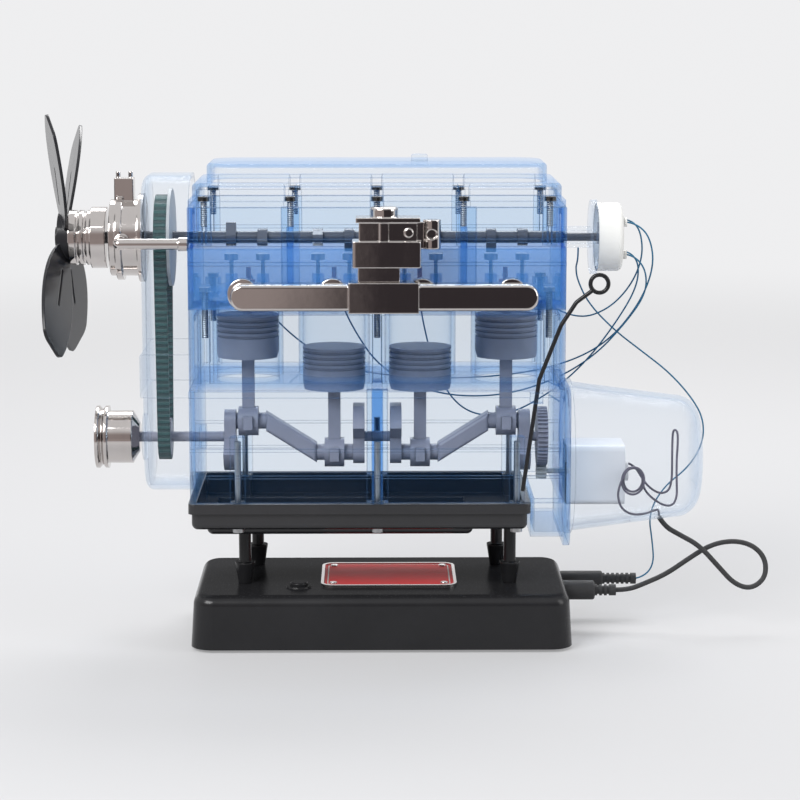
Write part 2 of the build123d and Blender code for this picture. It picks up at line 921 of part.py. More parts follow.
def make_intake_manifold():
    """Chromed log with a port to each cylinder and a raised joint under the carburettor."""
    middle = (manifold_bottom + manifold_top) / 2
    log = slab(manifold_left, manifold_right, manifold_front, manifold_rear, manifold_bottom, manifold_top)
    log = fillet(log.edges().filter_by(Axis.Y), manifold_end_radius)
    log = fillet(edges_at(log, Axis.Y, last=False), manifold_edge_radius)
    pieces = [log]
    pieces.append(
        slab(
            manifold_joint_left, manifold_joint_right, manifold_front - manifold_joint_rise, manifold_rear,
            manifold_bottom - manifold_joint_rise, manifold_top + manifold_joint_rise
        )
    )
    wall = -block_half_width - head_rail_rise
    for x in cylinder_places:
        hump_z = manifold_top + manifold_hump_rise - manifold_hump_radius
        pieces.append(round_y(manifold_hump_radius, manifold_front + manifold_end_radius, manifold_rear, x, hump_z))
        pieces.append(round_y(manifold_runner_radius, manifold_rear, wall, x, middle))
        pieces.append(
            round_y(manifold_runner_flange_radius, -block_half_width - manifold_runner_flange_thickness,
                    -block_half_width, x, middle)
        )
    return fused(pieces)


def make_carburettor():
    """Chromed carburettor with its neck, crown, ledge, cap, knob and side barrel."""
    middle_y = (carb_front + carb_rear) / 2
    neck_bottom = manifold_top + manifold_joint_rise
    body = slab(carb_left, carb_right, carb_front, carb_rear, carb_bottom, carb_top)
    body = fillet(body.edges().filter_by(Axis.Z), carb_edge_radius)
    crown = slab(
        carb_crown_left, carb_crown_right, carb_front + carb_ledge_overhang, carb_rear - carb_ledge_overhang,
        carb_top, carb_crown_top
    )
    ledge = slab(
        carb_crown_left - carb_ledge_overhang, carb_crown_right + carb_ledge_overhang, carb_front, carb_rear,
        carb_crown_top, carb_ledge_top
    )
    neck = slab(
        carb_neck_left, carb_neck_right, manifold_front + carb_neck_inset, carb_rear - carb_neck_inset,
        neck_bottom, carb_bottom
    )
    cap = round_z(carb_cap_radius, carb_ledge_top, carb_ledge_top + carb_cap_height, carb_cap_x, middle_y)
    cap = fillet(edges_at(cap, Axis.Z), carb_edge_radius)
    rib = slab(
        carb_cap_x - carb_rib_half_width, carb_cap_x + carb_rib_half_width,
        carb_front + carb_ledge_overhang - carb_rib_rise, middle_y, carb_top, carb_crown_top
    )
    knob = round_y(
        carb_knob_radius, carb_front + carb_ledge_overhang - carb_knob_length, middle_y, carb_knob_x, carb_knob_z
    )
    barrel = round_z(carb_barrel_radius, carb_barrel_bottom, carb_barrel_top, carb_barrel_x, middle_y)
    arm = slab(
        carb_crown_right, carb_barrel_x, middle_y - carb_barrel_radius / 2, middle_y + carb_barrel_radius / 2,
        carb_barrel_bottom, carb_crown_top
    )
    carb = fused([body, crown, ledge, neck, cap, rib, knob, barrel, arm])
    carb -= round_y(
        carb_barrel_hole_radius, middle_y - 2 * carb_barrel_radius, middle_y, carb_barrel_x,
        (carb_barrel_bottom + carb_barrel_top) / 2
    )
    return carb


# Timing drive

def timing_outline(inset):
    """The timing cover's outline seen from its end."""
    height = timing_top - timing_bottom - 2 * inset
    outline = RectangleRounded(2 * (timing_half_width - inset), height, timing_corner_radius - inset)
    return Pos(0, (timing_top + timing_bottom) / 2) * outline


def make_timing_cover():
    """Clear hood over the belt, open towards the engine, with a band and a crank boss."""
    cover = upright_plate(timing_outline(0), timing_left, case_left)
    cover = fillet(edges_at(cover, Axis.X, last=False), timing_edge_radius)
    band = slab(
        timing_left - timing_band_rise, case_left, -timing_half_width - timing_band_rise,
        timing_half_width + timing_band_rise, timing_band_bottom, timing_band_top
    )
    band = fillet(edges_at(band, Axis.X, last=False), timing_band_rise)
    boss = round_x(timing_boss_radius, timing_left - timing_boss_length, timing_left + timing_wall, 0, crank_z)
    cover = cover + band + boss
    cover -= upright_plate(timing_outline(timing_wall), timing_left + timing_wall, case_left + overrun)
    cover -= round_x(
        crank_shaft_radius + free_gap, timing_left - timing_boss_length - overrun, case_left, 0, crank_z
    )
    cover -= round_x(cam_shaft_radius + free_gap, timing_left - overrun, case_left, 0, cam_z)
    return cover


def belt_loop(grow):
    """Loop round both sprockets, a given distance outside their tips, as a flat outline."""
    lower = Pos(0, crank_z) * Circle(crank_sprocket_radius + belt_gap + grow)
    upper = Pos(0, cam_z) * Circle(cam_sprocket_radius + belt_gap + grow)
    return make_hull(lower.edges() + upper.edges())


def make_timing_belt():
    """Flat belt, lying just clear of the teeth that it drives."""
    outer = upright_plate(belt_loop(belt_thickness), belt_left, belt_right)
    return outer - upright_plate(belt_loop(0), belt_left - overrun, belt_right + overrun)


def toothed_wheel(radius, teeth, x_low, x_high, z):
    """Belt wheel with one notch per tooth."""
    wheel = round_x(radius, x_low, x_high, 0, z)
    notch_radius = belt_pitch / 4
    notches = []
    for tooth in range(teeth):
        angle = 2 * math.pi * tooth / teeth
        reach = radius + notch_radius - tooth_notch_depth
        notches.append(
            round_x(notch_radius, x_low - overrun, x_high + overrun, reach * math.sin(angle),
                    z + reach * math.cos(angle))
        )
    return wheel - notches


def make_crank_sprocket():
    wheel = toothed_wheel(crank_sprocket_radius, crank_teeth, belt_left, belt_right, crank_z)
    return wheel - round_x(crank_shaft_radius, belt_left - overrun, belt_right + overrun, 0, crank_z)


def make_cam_sprocket():
    """Cam wheel with its pale side disc."""
    wheel = toothed_wheel(cam_sprocket_radius, cam_teeth, belt_left, belt_right, cam_z)
    disc_left = belt_right + free_gap
    disc = round_x(cam_disc_radius, disc_left, disc_left + cam_disc_thickness, 0, cam_z)
    neck = round_x(cam_sprocket_radius / 2, belt_right, disc_left, 0, cam_z)
    return wheel + neck + disc - round_x(
        cam_shaft_radius, belt_left - overrun, disc_left + cam_disc_thickness + overrun, 0, cam_z
    )


def make_crank_pulley():
    """Chromed pulley with a double flange and a cone towards the cover."""
    middle = (pulley_left + pulley_flange_right) / 2
    groove = pulley_flange_radius - pulley_groove_depth
    rim = (pulley_flange_right - pulley_left) / 4
    outline = [
        (pulley_left, 0), (pulley_left, pulley_flange_radius), (pulley_left + rim, pulley_flange_radius),
        (middle, groove), (pulley_flange_right - rim, pulley_flange_radius),
        (pulley_flange_right, pulley_flange_radius), (pulley_flange_right, pulley_body_radius),
        (pulley_body_right, pulley_body_radius), (pulley_right, pulley_cone_radius), (pulley_right, 0),
    ]
    pulley = turned_x(outline, crank_z)
    return pulley - round_x(crank_shaft_radius, pulley_left + rim, pulley_right + overrun, 0, crank_z)


def make_water_pump():
    """Chromed pump housing round the fan's shaft, with a neck on top and a port in front."""
    flange_left = timing_left - pump_flange_thickness
    outline = [
        (pump_left, 0), (pump_left, pump_body_radius), (pump_ring_left, pump_body_radius),
        (pump_ring_left, pump_ring_radius), (pump_ring_left + pump_ring_thickness, pump_ring_radius),
        (pump_ring_left + pump_ring_thickness, pump_body_radius), (flange_left, pump_body_radius),
        (flange_left, pump_flange_radius), (timing_left, pump_flange_radius), (timing_left, 0),
    ]
    pieces = [turned_x(outline, cam_z)]
    pieces.append(
        slab(
            pump_neck_x - pump_neck_half, pump_neck_x + pump_neck_half, -pump_neck_half, pump_neck_half,
            cam_z, pump_neck_top
        )
    )
    for side in both_sides(pump_pin_spread):
        pieces.append(
            round_z(pump_pin_radius, pump_neck_top - pump_pin_height, pump_neck_top + pump_pin_height,
                    pump_neck_x + side)
        )
    pieces.append(round_y(pipe_radius + pipe_hose_wall, pipe_y + 2 * pipe_radius, 0, pipe_left, pipe_z))
    pump = fused(pieces)
    return pump - round_x(
        cam_shaft_radius + running_fit, pump_left - overrun, timing_left + overrun, 0, cam_z
    )


def make_water_pipe():
    """Chromed pipe from the pump's port along the cover to the head, with a hose end."""
    port = round_y(pipe_radius, pipe_y, pipe_y + 2 * pipe_radius, pipe_left, pipe_z)
    corner = Pos(pipe_left, pipe_y, pipe_z) * Sphere(pipe_radius)
    run = round_x(pipe_radius, pipe_left, pipe_hose_left, pipe_y, pipe_z)
    hose = round_x(pipe_radius + pipe_hose_wall, pipe_hose_left, case_left, pipe_y, pipe_z)
    return fused([port, corner, run, hose])


def make_fan_hub():
    """Chromed fan hub with a flange and two turned grooves."""
    step = (hub_flange_left - hub_left) / 3
    hub = round_x(hub_radius, hub_left, hub_flange_left, 0, cam_z)
    hub += round_x(hub_flange_radius, hub_flange_left, hub_right, 0, cam_z)
    for x in (hub_left + step, hub_left + 2 * step):
        ring = round_x(hub_radius + overrun, x, x + hub_groove_width, 0, cam_z)
        hub -= ring - round_x(hub_radius - hub_groove_depth, x, x + hub_groove_width, 0, cam_z)
    return hub - round_x(cam_shaft_radius, hub_left + hub_groove_width, hub_right + overrun, 0, cam_z)


def fan_blade():
    """One paddle, drawn with its root at the hub and its tip upwards."""
    belly = fan_belly_width / 2
    root = fan_root_width / 2
    tip = fan_tip_width / 2
    left = ThreePointArc((-root, fan_root_radius), (-belly, fan_belly_radius), (-tip, fan_radius))
    top = Line((-tip, fan_radius), (tip, fan_radius))
    right = ThreePointArc((tip, fan_radius), (belly, fan_belly_radius), (root, fan_root_radius))
    foot = Line((root, fan_root_radius), (-root, fan_root_radius))
    paddle = make_face(left + top + right + foot)
    paddle = fillet(paddle.vertices().group_by(Axis.Y)[-1], fan_tip_corner)
    slit_length = fan_slit_end - fan_slit_start
    slit = Pos(0, (fan_slit_start + fan_slit_end) / 2) * SlotOverall(slit_length, fan_slit_width, rotation=90)
    upright = Plane(origin=(0, 0, 0), x_dir=(0, 1, 0), z_dir=(1, 0, 0))
    return extrude(upright * (paddle - slit), fan_blade_thickness / 2, both=True)


def make_fan():
    """Fan with paddle blades set at a pitch round a hub plate."""
    plate_left = hub_left - fan_plate_thickness
    middle = plate_left + fan_plate_thickness / 2
    pieces = [round_x(fan_plate_radius, plate_left, hub_left, 0, cam_z)]
    pieces.append(round_x(fan_cap_radius, plate_left - fan_cap_height, plate_left, 0, cam_z))
    for number in range(fan_blades):
        angle = fan_first_angle + number * 360 / fan_blades
        place = Pos(middle, 0, cam_z) * Rot(angle, 0, 0)
        pieces.append(place * Rot(0, 0, fan_pitch_angle) * fan_blade())
    return fused(pieces)


# Crankshaft, rods and pistons

def weight_outline(sign):
    """A crank web: arm towards the pin and a crescent weight on the other side."""
    disc = Circle(weight_radius)
    half = Pos(0, -sign * weight_radius) * Rectangle(4 * weight_radius, 2 * weight_radius)
    reach = 2 * weight_radius
    cut = math.radians(weight_angle)
    wedge = make_face(
        Polyline(
            (0, sign * throw / 2), (-reach * math.sin(cut), -sign * reach * math.cos(cut)),
            (reach * math.sin(cut), -sign * reach * math.cos(cut)), close=True
        )
    )
    arm = make_hull(
        Circle(weight_arm_radius).edges() + (Pos(0, sign * throw) * Circle(weight_arm_radius)).edges()
    )
    return (disc & half & wedge) + arm


def slanted_web(x_low, x_high, z_low, z_high):
    """Web that leans from one pin to the next."""
    corners = [
        (x_low, z_low - slant_half_height), (x_high, z_high - slant_half_height),
        (x_high, z_high + slant_half_height), (x_low, z_low + slant_half_height),
    ]
    face = make_face(Polyline(*[(x, 0, z) for x, z in corners], close=True))
    web = extrude(face, slant_half_thickness, dir=(0, 1, 0), both=True)
    return fillet(web.edges().filter_by(Axis.Y, reverse=True), slant_half_thickness / 3)


def weight_spans():
    """The x span of each counterweight, from left to right."""
    spans = []
    for distance in (-weight_far, -weight_near, weight_near, weight_far):
        side = math.copysign(1, distance)
        edge = row_centre_x + distance
        spans.append(sorted((edge, edge + side * weight_thickness)))
    return spans


def make_crankshaft():
    """Shaft with four pins, four counterweights and two slanted webs."""
    spans = weight_spans()
    pieces = []
    journals = [(pulley_left + pulley_groove_depth * 2, spans[0][0]), (spans[1][1], spans[2][0]),
                (spans[3][1], gear_right)]
    for low, high in journals:
        pieces.append(round_x(crank_shaft_radius, low, high, 0, crank_z))
    for number, x in enumerate(cylinder_places):
        sign = pin_signs[number]
        z = crank_z + sign * throw
        low, high = spans[number]
        pieces.append(upright_plate(weight_outline(sign), low, high, crank_z))
        outer = high if number in (0, 2) else low
        inner = x + pin_half_length if number in (0, 2) else x - pin_half_length
        pieces.append(round_x(pin_radius, min(outer, inner), max(outer, inner), 0, z))
    for first in (0, 2):
        pieces.append(
            slanted_web(
                cylinder_places[first] + pin_half_length, cylinder_places[first + 1] - pin_half_length,
                crank_z + pin_signs[first] * throw, crank_z + pin_signs[first + 1] * throw
            )
        )
    crank = fused(pieces)
    for number in range(4):
        crank -= web_plug_bar(number, web_plug_radius + running_fit)
    return crank


def web_plug_bar(number, radius):
    """Plug in a counterweight's outer face, half way between the shaft and the pin."""
    low, high = weight_spans()[number]
    z = crank_z + pin_signs[number] * throw / 2
    if number in (0, 2):
        return round_x(radius, low, low + web_plug_depth, 0, z)
    return round_x(radius, high - web_plug_depth, high, 0, z)


def make_web_plugs(numbers):
    return Compound([web_plug_bar(number, web_plug_radius) for number in numbers])


def make_con_rod(number):
    """Rod with a split big end, its bolts' shoulders, a fluted shank and a small end with its pin."""
    x = cylinder_places[number]
    pin_z = crank_z + pin_signs[number] * throw
    top_z = pin_z + rod_length
    big = round_x(rod_big_radius, x - rod_big_half_width, x + rod_big_half_width, 0, pin_z)
    shoulders = slab(
        x - rod_bolt_half_width, x + rod_bolt_half_width, -rod_bolt_reach, rod_bolt_reach,
        pin_z - rod_split_half, pin_z + rod_split_half
    )
    shank = slab(x - rod_half_width, x + rod_half_width, -rod_shank_half, rod_shank_half, pin_z, top_z)
    small = round_x(rod_small_radius, x - rod_half_width, x + rod_half_width, 0, top_z)
    pin = round_x(wrist_pin_radius, x - wrist_pin_half_length, x + wrist_pin_half_length, 0, top_z)
    rod = fused([big, shoulders, shank, small, pin])
    for side in both_sides(rod_half_width):
        inner = side - math.copysign(rod_flute_depth, side)
        outer = side + math.copysign(overrun, side)
        rod -= slab(
            min(inner, outer) + x, max(inner, outer) + x, -rod_flute_half, rod_flute_half,
            pin_z + rod_big_radius + rod_flute_half, top_z - rod_small_radius - rod_flute_half
        )
    return rod - round_x(
        pin_radius + running_fit, x - rod_big_half_width - overrun, x + rod_big_half_width + overrun, 0, pin_z
    )


def make_piston(number):
    """Hollow piston with ring grooves and a notched skirt."""
    x = cylinder_places[number]
    top = crank_z + pin_signs[number] * throw + rod_length + piston_top_above_pin
    bottom = top - piston_height
    piston = round_z(piston_radius, bottom, top, x)
    for ring in range(piston_rings):
        z = top - (ring + 1) * piston_ring_pitch
        groove = round_z(piston_radius + overrun, z, z + piston_ring_height, x)
        piston -= groove - round_z(piston_radius - piston_ring_depth, z, z + piston_ring_height, x)
    piston -= round_z(piston_cavity_radius, bottom - overrun, top - piston_crown, x)
    piston -= round_x(
        piston_skirt_notch_radius, x - piston_radius - overrun, x + piston_radius + overrun, 0,
        bottom - piston_skirt_notch_radius / 2
    )
    return piston


# Camshaft

def cam_lobe(x, angle):
    """Egg-shaped lobe, its nose turned from straight up."""
    base = Circle(cam_base_radius)
    nose = Pos(0, cam_nose_distance) * Circle(cam_nose_radius)
    egg = make_hull(base.edges() + nose.edges())
    lobe = upright_plate(egg, -cam_lobe_half_width, cam_lobe_half_width)
    return Pos(x, 0, cam_z) * Rot(angle, 0, 0) * lobe


def make_camshaft():
    """Shaft from the fan to the distributor, with two lobes over each cylinder."""
    pieces = [round_x(cam_shaft_radius, hub_left + 2 * hub_groove_width, case_right + overrun, 0, cam_z)]
    pieces.append(round_x(distributor_shaft_radius, case_right, cam_right + 2 * rotor_thickness, 0, cam_z))
    for number, x in enumerate(cylinder_places):
        inlet = 360 * inlet_angle_shares[number]
        outlet = inlet + 360 * outlet_lag_share
        pieces.append(cam_lobe(x - valve_offset, inlet))
        pieces.append(cam_lobe(x + valve_offset, outlet))
    return fused(pieces)


# Flywheel gear, motor and its housing

def spur_gear(teeth, x_low, x_high, z, half_step):
    """Straight-toothed gear, turned half a tooth where asked."""
    pitch_radius = gear_module * teeth / 2
    tip = pitch_radius + gear_addendum_share * gear_module
    root = pitch_radius - gear_dedendum_share * gear_module
    pitch_angle = 2 * math.pi / teeth
    root_half = pitch_angle * gear_tooth_share * gear_root_half_share
    tip_half = pitch_angle * gear_tooth_share * gear_tip_half_share
    corners = []
    for tooth in range(teeth):
        middle = (tooth + half_step) * pitch_angle
        for radius, turn in ((root, -root_half), (tip, -tip_half), (tip, tip_half), (root, root_half)):
            corners.append((radius * math.sin(middle + turn), radius * math.cos(middle + turn)))
    return upright_plate(make_face(Polyline(*corners, close=True)), x_low, x_high, z)


def make_flywheel():
    """Toothed flywheel on the crankshaft's motor end."""
    wheel = spur_gear(gear_teeth, gear_left, gear_right, crank_z, 0)
    return wheel - round_x(crank_shaft_radius, gear_left - overrun, gear_right + overrun, 0, crank_z)


def make_motor_pinion():
    """Pinion and its shaft, from the flywheel back into the motor."""
    pinion = spur_gear(pinion_teeth, gear_left, gear_right, motor_z, 0.5)
    return pinion + round_x(motor_shaft_radius, gear_right, plate_right, 0, motor_z)


def make_rear_plate():
    """Clear plate between the engine and the bell housing, with a skirt beside the pan."""
    height = plate_top - plate_bottom
    outline = Pos(0, plate_bottom + height / 2) * RectangleRounded(2 * plate_half_width, height, plate_corner_radius)
    plate = upright_plate(outline, case_right, plate_right)
    skirt = slab(pan_right + free_gap, case_right, -pan_sump_half_width, pan_sump_half_width,
                 plate_bottom + plate_corner_radius / 2, pan_rim_top)
    skirt -= slab(
        pan_right + free_gap + skirt_wall, case_right + overrun, -pan_sump_half_width + skirt_wall,
        pan_sump_half_width - skirt_wall, plate_bottom + plate_corner_radius / 2 + skirt_wall,
        pan_rim_top + overrun
    )
    plate += skirt
    return plate - round_x(motor_shaft_radius + free_gap, case_right - overrun, plate_right + overrun, 0, motor_z)


def bell_shape(inset):
    """The bell housing's turned body, drawn in by a wall thickness."""
    corner_x = bell_right - bell_corner
    corner_z = bell_end_radius - bell_corner
    bend = bell_corner - inset
    slope = bend * math.cos(math.pi / 4)
    axis = Line((plate_right, 0, 0), (corner_x + bend, 0, 0))
    end = Line((corner_x + bend, 0, 0), (corner_x + bend, 0, corner_z))
    corner = ThreePointArc(
        (corner_x + bend, 0, corner_z), (corner_x + slope, 0, corner_z + slope), (corner_x, 0, corner_z + bend)
    )
    side = Line((corner_x, 0, corner_z + bend), (plate_right, 0, bell_radius - inset))
    back = Line((plate_right, 0, bell_radius - inset), (plate_right, 0, 0))
    outline = make_face(axis + end + corner + side + back)
    return Pos(0, 0, bell_axis_z) * revolve(outline, Axis.X)


def make_bell_housing():
    """Clear round housing over the motor, with a flange and two holes for the leads."""
    flange = round_x(bell_flange_radius, plate_right, plate_right + bell_flange_thickness, 0, bell_axis_z)
    keep = slab(plate_right, bell_right, -bell_radius, bell_radius, plate_bottom, plate_top)
    housing = (flange & keep) + bell_shape(0) - bell_shape(bell_wall)
    low = bell_axis_z - bell_radius
    housing -= round_z(lead_hole_radius, low - overrun, bell_axis_z, lead_hole_x)
    return housing - round_z(wire_hole_radius, low - overrun, bell_axis_z, wire_hole_x)


def make_drive_motor():
    """Boxed motor with its gear case, carried by the rear plate."""
    body = slab(
        plate_right, motor_right, -motor_half_width, motor_half_width,
        motor_z - motor_half_height, motor_z + motor_half_height
    )
    body = fillet(body.edges().filter_by(Axis.X), motor_corner)
    tail = round_x(motor_tail_radius, motor_right, motor_right + motor_tail_length, 0, motor_z)
    return body + tail


# Distributor

def make_distributor_body():
    """Clear sleeve and flange that carry the distributor cap."""
    sleeve = round_x(distributor_sleeve_radius, case_right, distributor_flange_left, 0, cam_z)
    flange = round_x(
        distributor_flange_radius, distributor_flange_left,
        distributor_flange_left + distributor_flange_thickness, 0, cam_z
    )
    return sleeve + flange - round_x(
        cam_shaft_radius + free_gap, case_right - overrun,
        distributor_flange_left + distributor_flange_thickness + overrun, 0, cam_z
    )


def make_distributor_cap():
    """White cup with a tower for each spark lead."""
    left = distributor_flange_left + distributor_flange_thickness
    cap = round_x(distributor_cap_radius, left, distributor_cap_right, 0, cam_z)
    cap = fillet(edges_at(cap, Axis.X), distributor_cap_edge)
    for number in range(4):
        y, z = tower_place(number)
        cap += round_x(
            distributor_tower_radius, distributor_cap_right - distributor_cap_wall,
            distributor_cap_right + distributor_tower_length, y, z
        )
    return cap - round_x(
        distributor_cap_radius - distributor_cap_wall, left - overrun,
        distributor_cap_right - distributor_cap_wall, 0, cam_z
    )


def tower_place(number):
    """A spark lead's tower as (y, z)."""
    angle = math.radians(45 + 90 * number)
    return distributor_tower_circle * math.sin(angle), cam_z + distributor_tower_circle * math.cos(angle)


def make_distributor_rotor():
    """Rotor arm on the end of the camshaft."""
    left = distributor_flange_left + distributor_flange_thickness + free_gap
    rotor = round_x(rotor_radius / 2, left, left + rotor_thickness, 0, cam_z)
    rotor += slab(left, left + rotor_thickness, -rotor_thickness / 2, rotor_thickness / 2, cam_z, cam_z + rotor_radius)
    return rotor - round_x(
        distributor_shaft_radius, left - overrun, left + rotor_thickness + overrun, 0, cam_z
    )


# Dipstick

def make_dipstick():
    """Bent rod with a flat pointed foot and a ring to pull it by."""
    points = [stick_bottom, stick_knee, stick_elbow, stick_neck]
    ring_low = (
        stick_ring[0] - stick_ring_radius * math.cos(math.pi / 4),
        stick_ring[1] - stick_ring_radius * math.sin(math.pi / 4),
    )
    points.append(ring_low)
    path = FilletPolyline(*[stick_place(point) for point in points], radius=4 * stick_radius)
    start = Plane(origin=path @ 0, z_dir=path % 0)
    rod = sweep(start * Circle(stick_radius), path=path)
    ring = Pos(*stick_place(stick_ring)) * Rot(90, 0, 0) * Torus(stick_ring_radius, stick_radius)
    return rod + ring


# Leads and plugs

def gentle_radii(points):
    """The largest even bend at each corner of a route: 0.45 of the shorter run."""
    radii = []
    for before, here, after in zip(points, points[1:], points[2:]):
        first = Vector(*here) - Vector(*before)
        second = Vector(*after) - Vector(*here)
        turn = math.radians(first.get_angle(second))
        radii.append(bend_share * min(first.length, second.length) / math.tan(turn / 2))
    return radii


def tube(points, radius, name):
    """A round cord along a route."""
    radii = gentle_radii(points)
    path = FilletPolyline(*points, radius=radii)
    solid = sweep(Plane(origin=path @ 0, z_dir=path % 0) * Circle(radius), path=path)
    expected = math.pi * radius ** 2 * path.length
    print(name, "length", round(path.length, 1), "least radius", round(min(radii), 1),
          "volume share", round(solid.volume / expected, 3))
    return solid


def make_plug(y, body_radius, body_length, relief_length):
    """Round low-voltage plug with a ribbed strain relief, in its jack."""
    wall = jack_face_x
    relief_end = wall + body_length + relief_length
    body = round_x(body_radius, wall, wall + body_length, y, jack_z)
    body = fillet(edges_at(body, Axis.X), body_radius / 4)
    plug = body + round_x(plug_barrel_radius, wall - plug_barrel_depth, wall, y, jack_z)
    plug += round_x(relief_radius, wall + body_length, relief_end, y, jack_z)
    count = int((relief_length - relief_groove_width) / relief_groove_pitch)
    for groove in range(count):
        x = wall + body_length + relief_groove_width + groove * relief_groove_pitch
        ring = round_x(relief_radius + overrun, x, x + relief_groove_width, y, jack_z)
        plug -= ring - round_x(relief_radius - relief_groove_depth, x, x + relief_groove_width, y, jack_z)
    return plug


def make_plug_front():
    return make_plug(front_jack_y, front_plug_body_radius, front_plug_body_length, front_plug_relief_length)


def make_plug_rear():
    return make_plug(rear_jack_y, rear_plug_body_radius, rear_plug_body_length, rear_plug_relief_length)


# Route of the motor's lead, from the bell housing over its loop to the front plug
lead_route = [
    (136.8, 0, 56.6), (139.6, -1.2, 52.0), (146.5, -3.0, 48.3), (156.5, -4.2, 43.0), (166.0, -4.6, 32.5),
    (174.0, -4.4, 23.6), (182.6, -3.0, 20.6), (190.2, 0.0, 25.4), (190.6, 3.0, 34.4), (184.6, 4.8, 41.0),
    (175.0, 5.4, 43.4), (163.5, 5.0, 41.4), (152.5, 4.2, 34.5), (141.5, 3.2, 27.0), (131.0, 2.4, 22.5),
    (122.5, 2.0, 19.2), (116.15, 2.0, 19.2),
]

# Routes of the spark leads, from the cap's towers behind the housing to the head's rear wall
spark_lead_routes = [
    [
        (118.1, -7.8, 202.7), (123.0, -7.6, 202.0), (130.0, -4.0, 195.0), (133.0, 4.0, 180.0), (128.0, 20.0, 160.0),
        (114.0, 38.0, 138.0), (92.0, 49.0, 125.0), (60.0, 56.0, 118.0), (20.0, 57.5, 117.0), (-20.0, 56.0, 122.0),
        (-46.0, 53.0, 140.0), (-61.0, 49.5, 158.0), (-64.85, 44.5, 171.0), (-64.85, 38.0, 172.2),
    ],
    [
        (118.1, -7.8, 187.1), (122.5, -7.6, 186.3), (128.5, -3.0, 178.5), (129.5, 8.0, 166.0), (122.0, 26.0, 150.0),
        (108.0, 41.0, 131.0), (88.0, 50.0, 117.0), (60.0, 54.0, 108.0), (28.0, 55.0, 109.0), (0.0, 54.0, 122.0),
        (-15.0, 51.0, 145.0), (-21.5, 48.0, 162.0), (-22.95, 44.0, 171.5), (-22.95, 38.0, 172.2),
    ],
    [
        (118.1, 7.8, 187.1), (122.0, 8.0, 186.6), (126.5, 11.0, 180.0), (126.0, 20.0, 167.0), (117.0, 33.0, 148.0),
        (104.0, 43.0, 128.0), (88.0, 49.0, 112.0), (64.0, 52.0, 98.0), (42.0, 52.0, 100.0), (28.0, 51.0, 120.0),
        (21.0, 50.0, 148.0), (19.2, 48.0, 163.0), (18.95, 44.0, 171.5), (18.95, 38.0, 172.2),
    ],
    [
        (118.1, 7.8, 202.7), (122.5, 7.9, 202.2), (127.0, 9.5, 196.0), (128.5, 15.0, 183.0), (124.0, 26.0, 168.0),
        (114.0, 37.0, 155.0), (100.0, 45.0, 149.0), (82.0, 48.5, 157.0), (67.0, 48.0, 168.0), (60.85, 44.5, 171.8),
        (60.85, 38.0, 172.2),
    ],
]

# Route of the feed wire, from the rear plug up behind the housing to the distributor's sleeve
feed_route = [
    (128.65, 27.0, 19.2), (133.5, 27.3, 20.2), (138.0, 28.5, 26.5), (137.5, 32.0, 36.5), (136.0, 39.0, 50.0),
    (144.0, 44.0, 63.0), (157.0, 45.0, 73.0), (164.0, 44.0, 86.0), (163.5, 42.5, 99.0), (156.5, 42.0, 110.5),
    (145.5, 42.0, 122.5), (132.5, 42.5, 132.5), (117.5, 41.0, 144.0), (104.0, 36.5, 158.0), (97.5, 28.0, 171.0),
    (95.8, 16.5, 178.5), (95.5, 6.0, 181.5), (95.5, 0.5, 185.2), (95.5, 0.0, 189.7),
]


def make_motor_lead():
    return tube(lead_route, lead_radius, "motor_lead")


def make_spark_leads():
    """Four thin leads, one for each cylinder."""
    return Compound([tube(route, wire_radius, "spark_lead") for route in spark_lead_routes])


def make_feed_wire():
    return tube(feed_route, wire_radius, "feed_wire")


nodes = {
    "base_shell": make_base_shell,
    "base_plate": make_base_plate,
    "rubber_feet": make_rubber_feet,
    "badge_plate": make_badge_plate,
    "start_button": make_start_button,
    "support_posts": make_support_posts,
    "oil_pan": make_oil_pan,
    "pan_screws": make_pan_screws,
    "crankcase": make_crankcase,
    "cylinder_block": make_cylinder_block,
    "cylinder_head": make_cylinder_head,
    "head_bolts": make_head_bolts,
    "spark_plugs": make_spark_plugs,
    "rocker_cover": make_rocker_cover,
    "cover_screws": make_cover_screws,
    "intake_manifold": make_intake_manifold,
    "carburettor": make_carburettor,
    "timing_cover": make_timing_cover,
    "timing_belt": make_timing_belt,
    "crank_sprocket": make_crank_sprocket,
    "cam_sprocket": make_cam_sprocket,
    "crank_pulley": make_crank_pulley,
    "water_pump": make_water_pump,
    "water_pipe": make_water_pipe,
    "fan_hub": make_fan_hub,
    "fan_blades": make_fan,
    "crankshaft": make_crankshaft,
    "web_plugs_outer": lambda: make_web_plugs((0, 3)),
    "web_plugs_inner": lambda: make_web_plugs((1, 2)),
    "camshaft": make_camshaft,
    "flywheel": make_flywheel,
    "motor_pinion": make_motor_pinion,
    "rear_plate": make_rear_plate,
    "bell_housing": make_bell_housing,
    "drive_motor": make_drive_motor,
    "distributor_body": make_distributor_body,
    "distributor_cap": make_distributor_cap,
    "distributor_rotor": make_distributor_rotor,
    "dipstick": make_dipstick,
    "motor_lead": make_motor_lead,
    "spark_leads": make_spark_leads,
    "feed_wire": make_feed_wire,
    "plug_front": make_plug_front,
    "plug_rear": make_plug_rear,
}


def main():
    os.makedirs("parts", exist_ok=True)
    for number in range(4):
        nodes[f"con_rod_{number + 1}"] = lambda number=number: make_con_rod(number)
        nodes[f"piston_{number + 1}"] = lambda number=number: make_piston(number)
    for number, x in enumerate(valve_places()):
        side = "outlet" if number % 2 else "inlet"
        nodes[f"{side}_valve_{number // 2 + 1}"] = lambda x=x: make_valve(x)
    for name, make in nodes.items():
        export_step(make(), f"parts/{name}.step")


main()
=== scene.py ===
"""Finishes, leads, wires and studio for a see-through four stroke engine model."""
from math import cos, pi, radians, sin

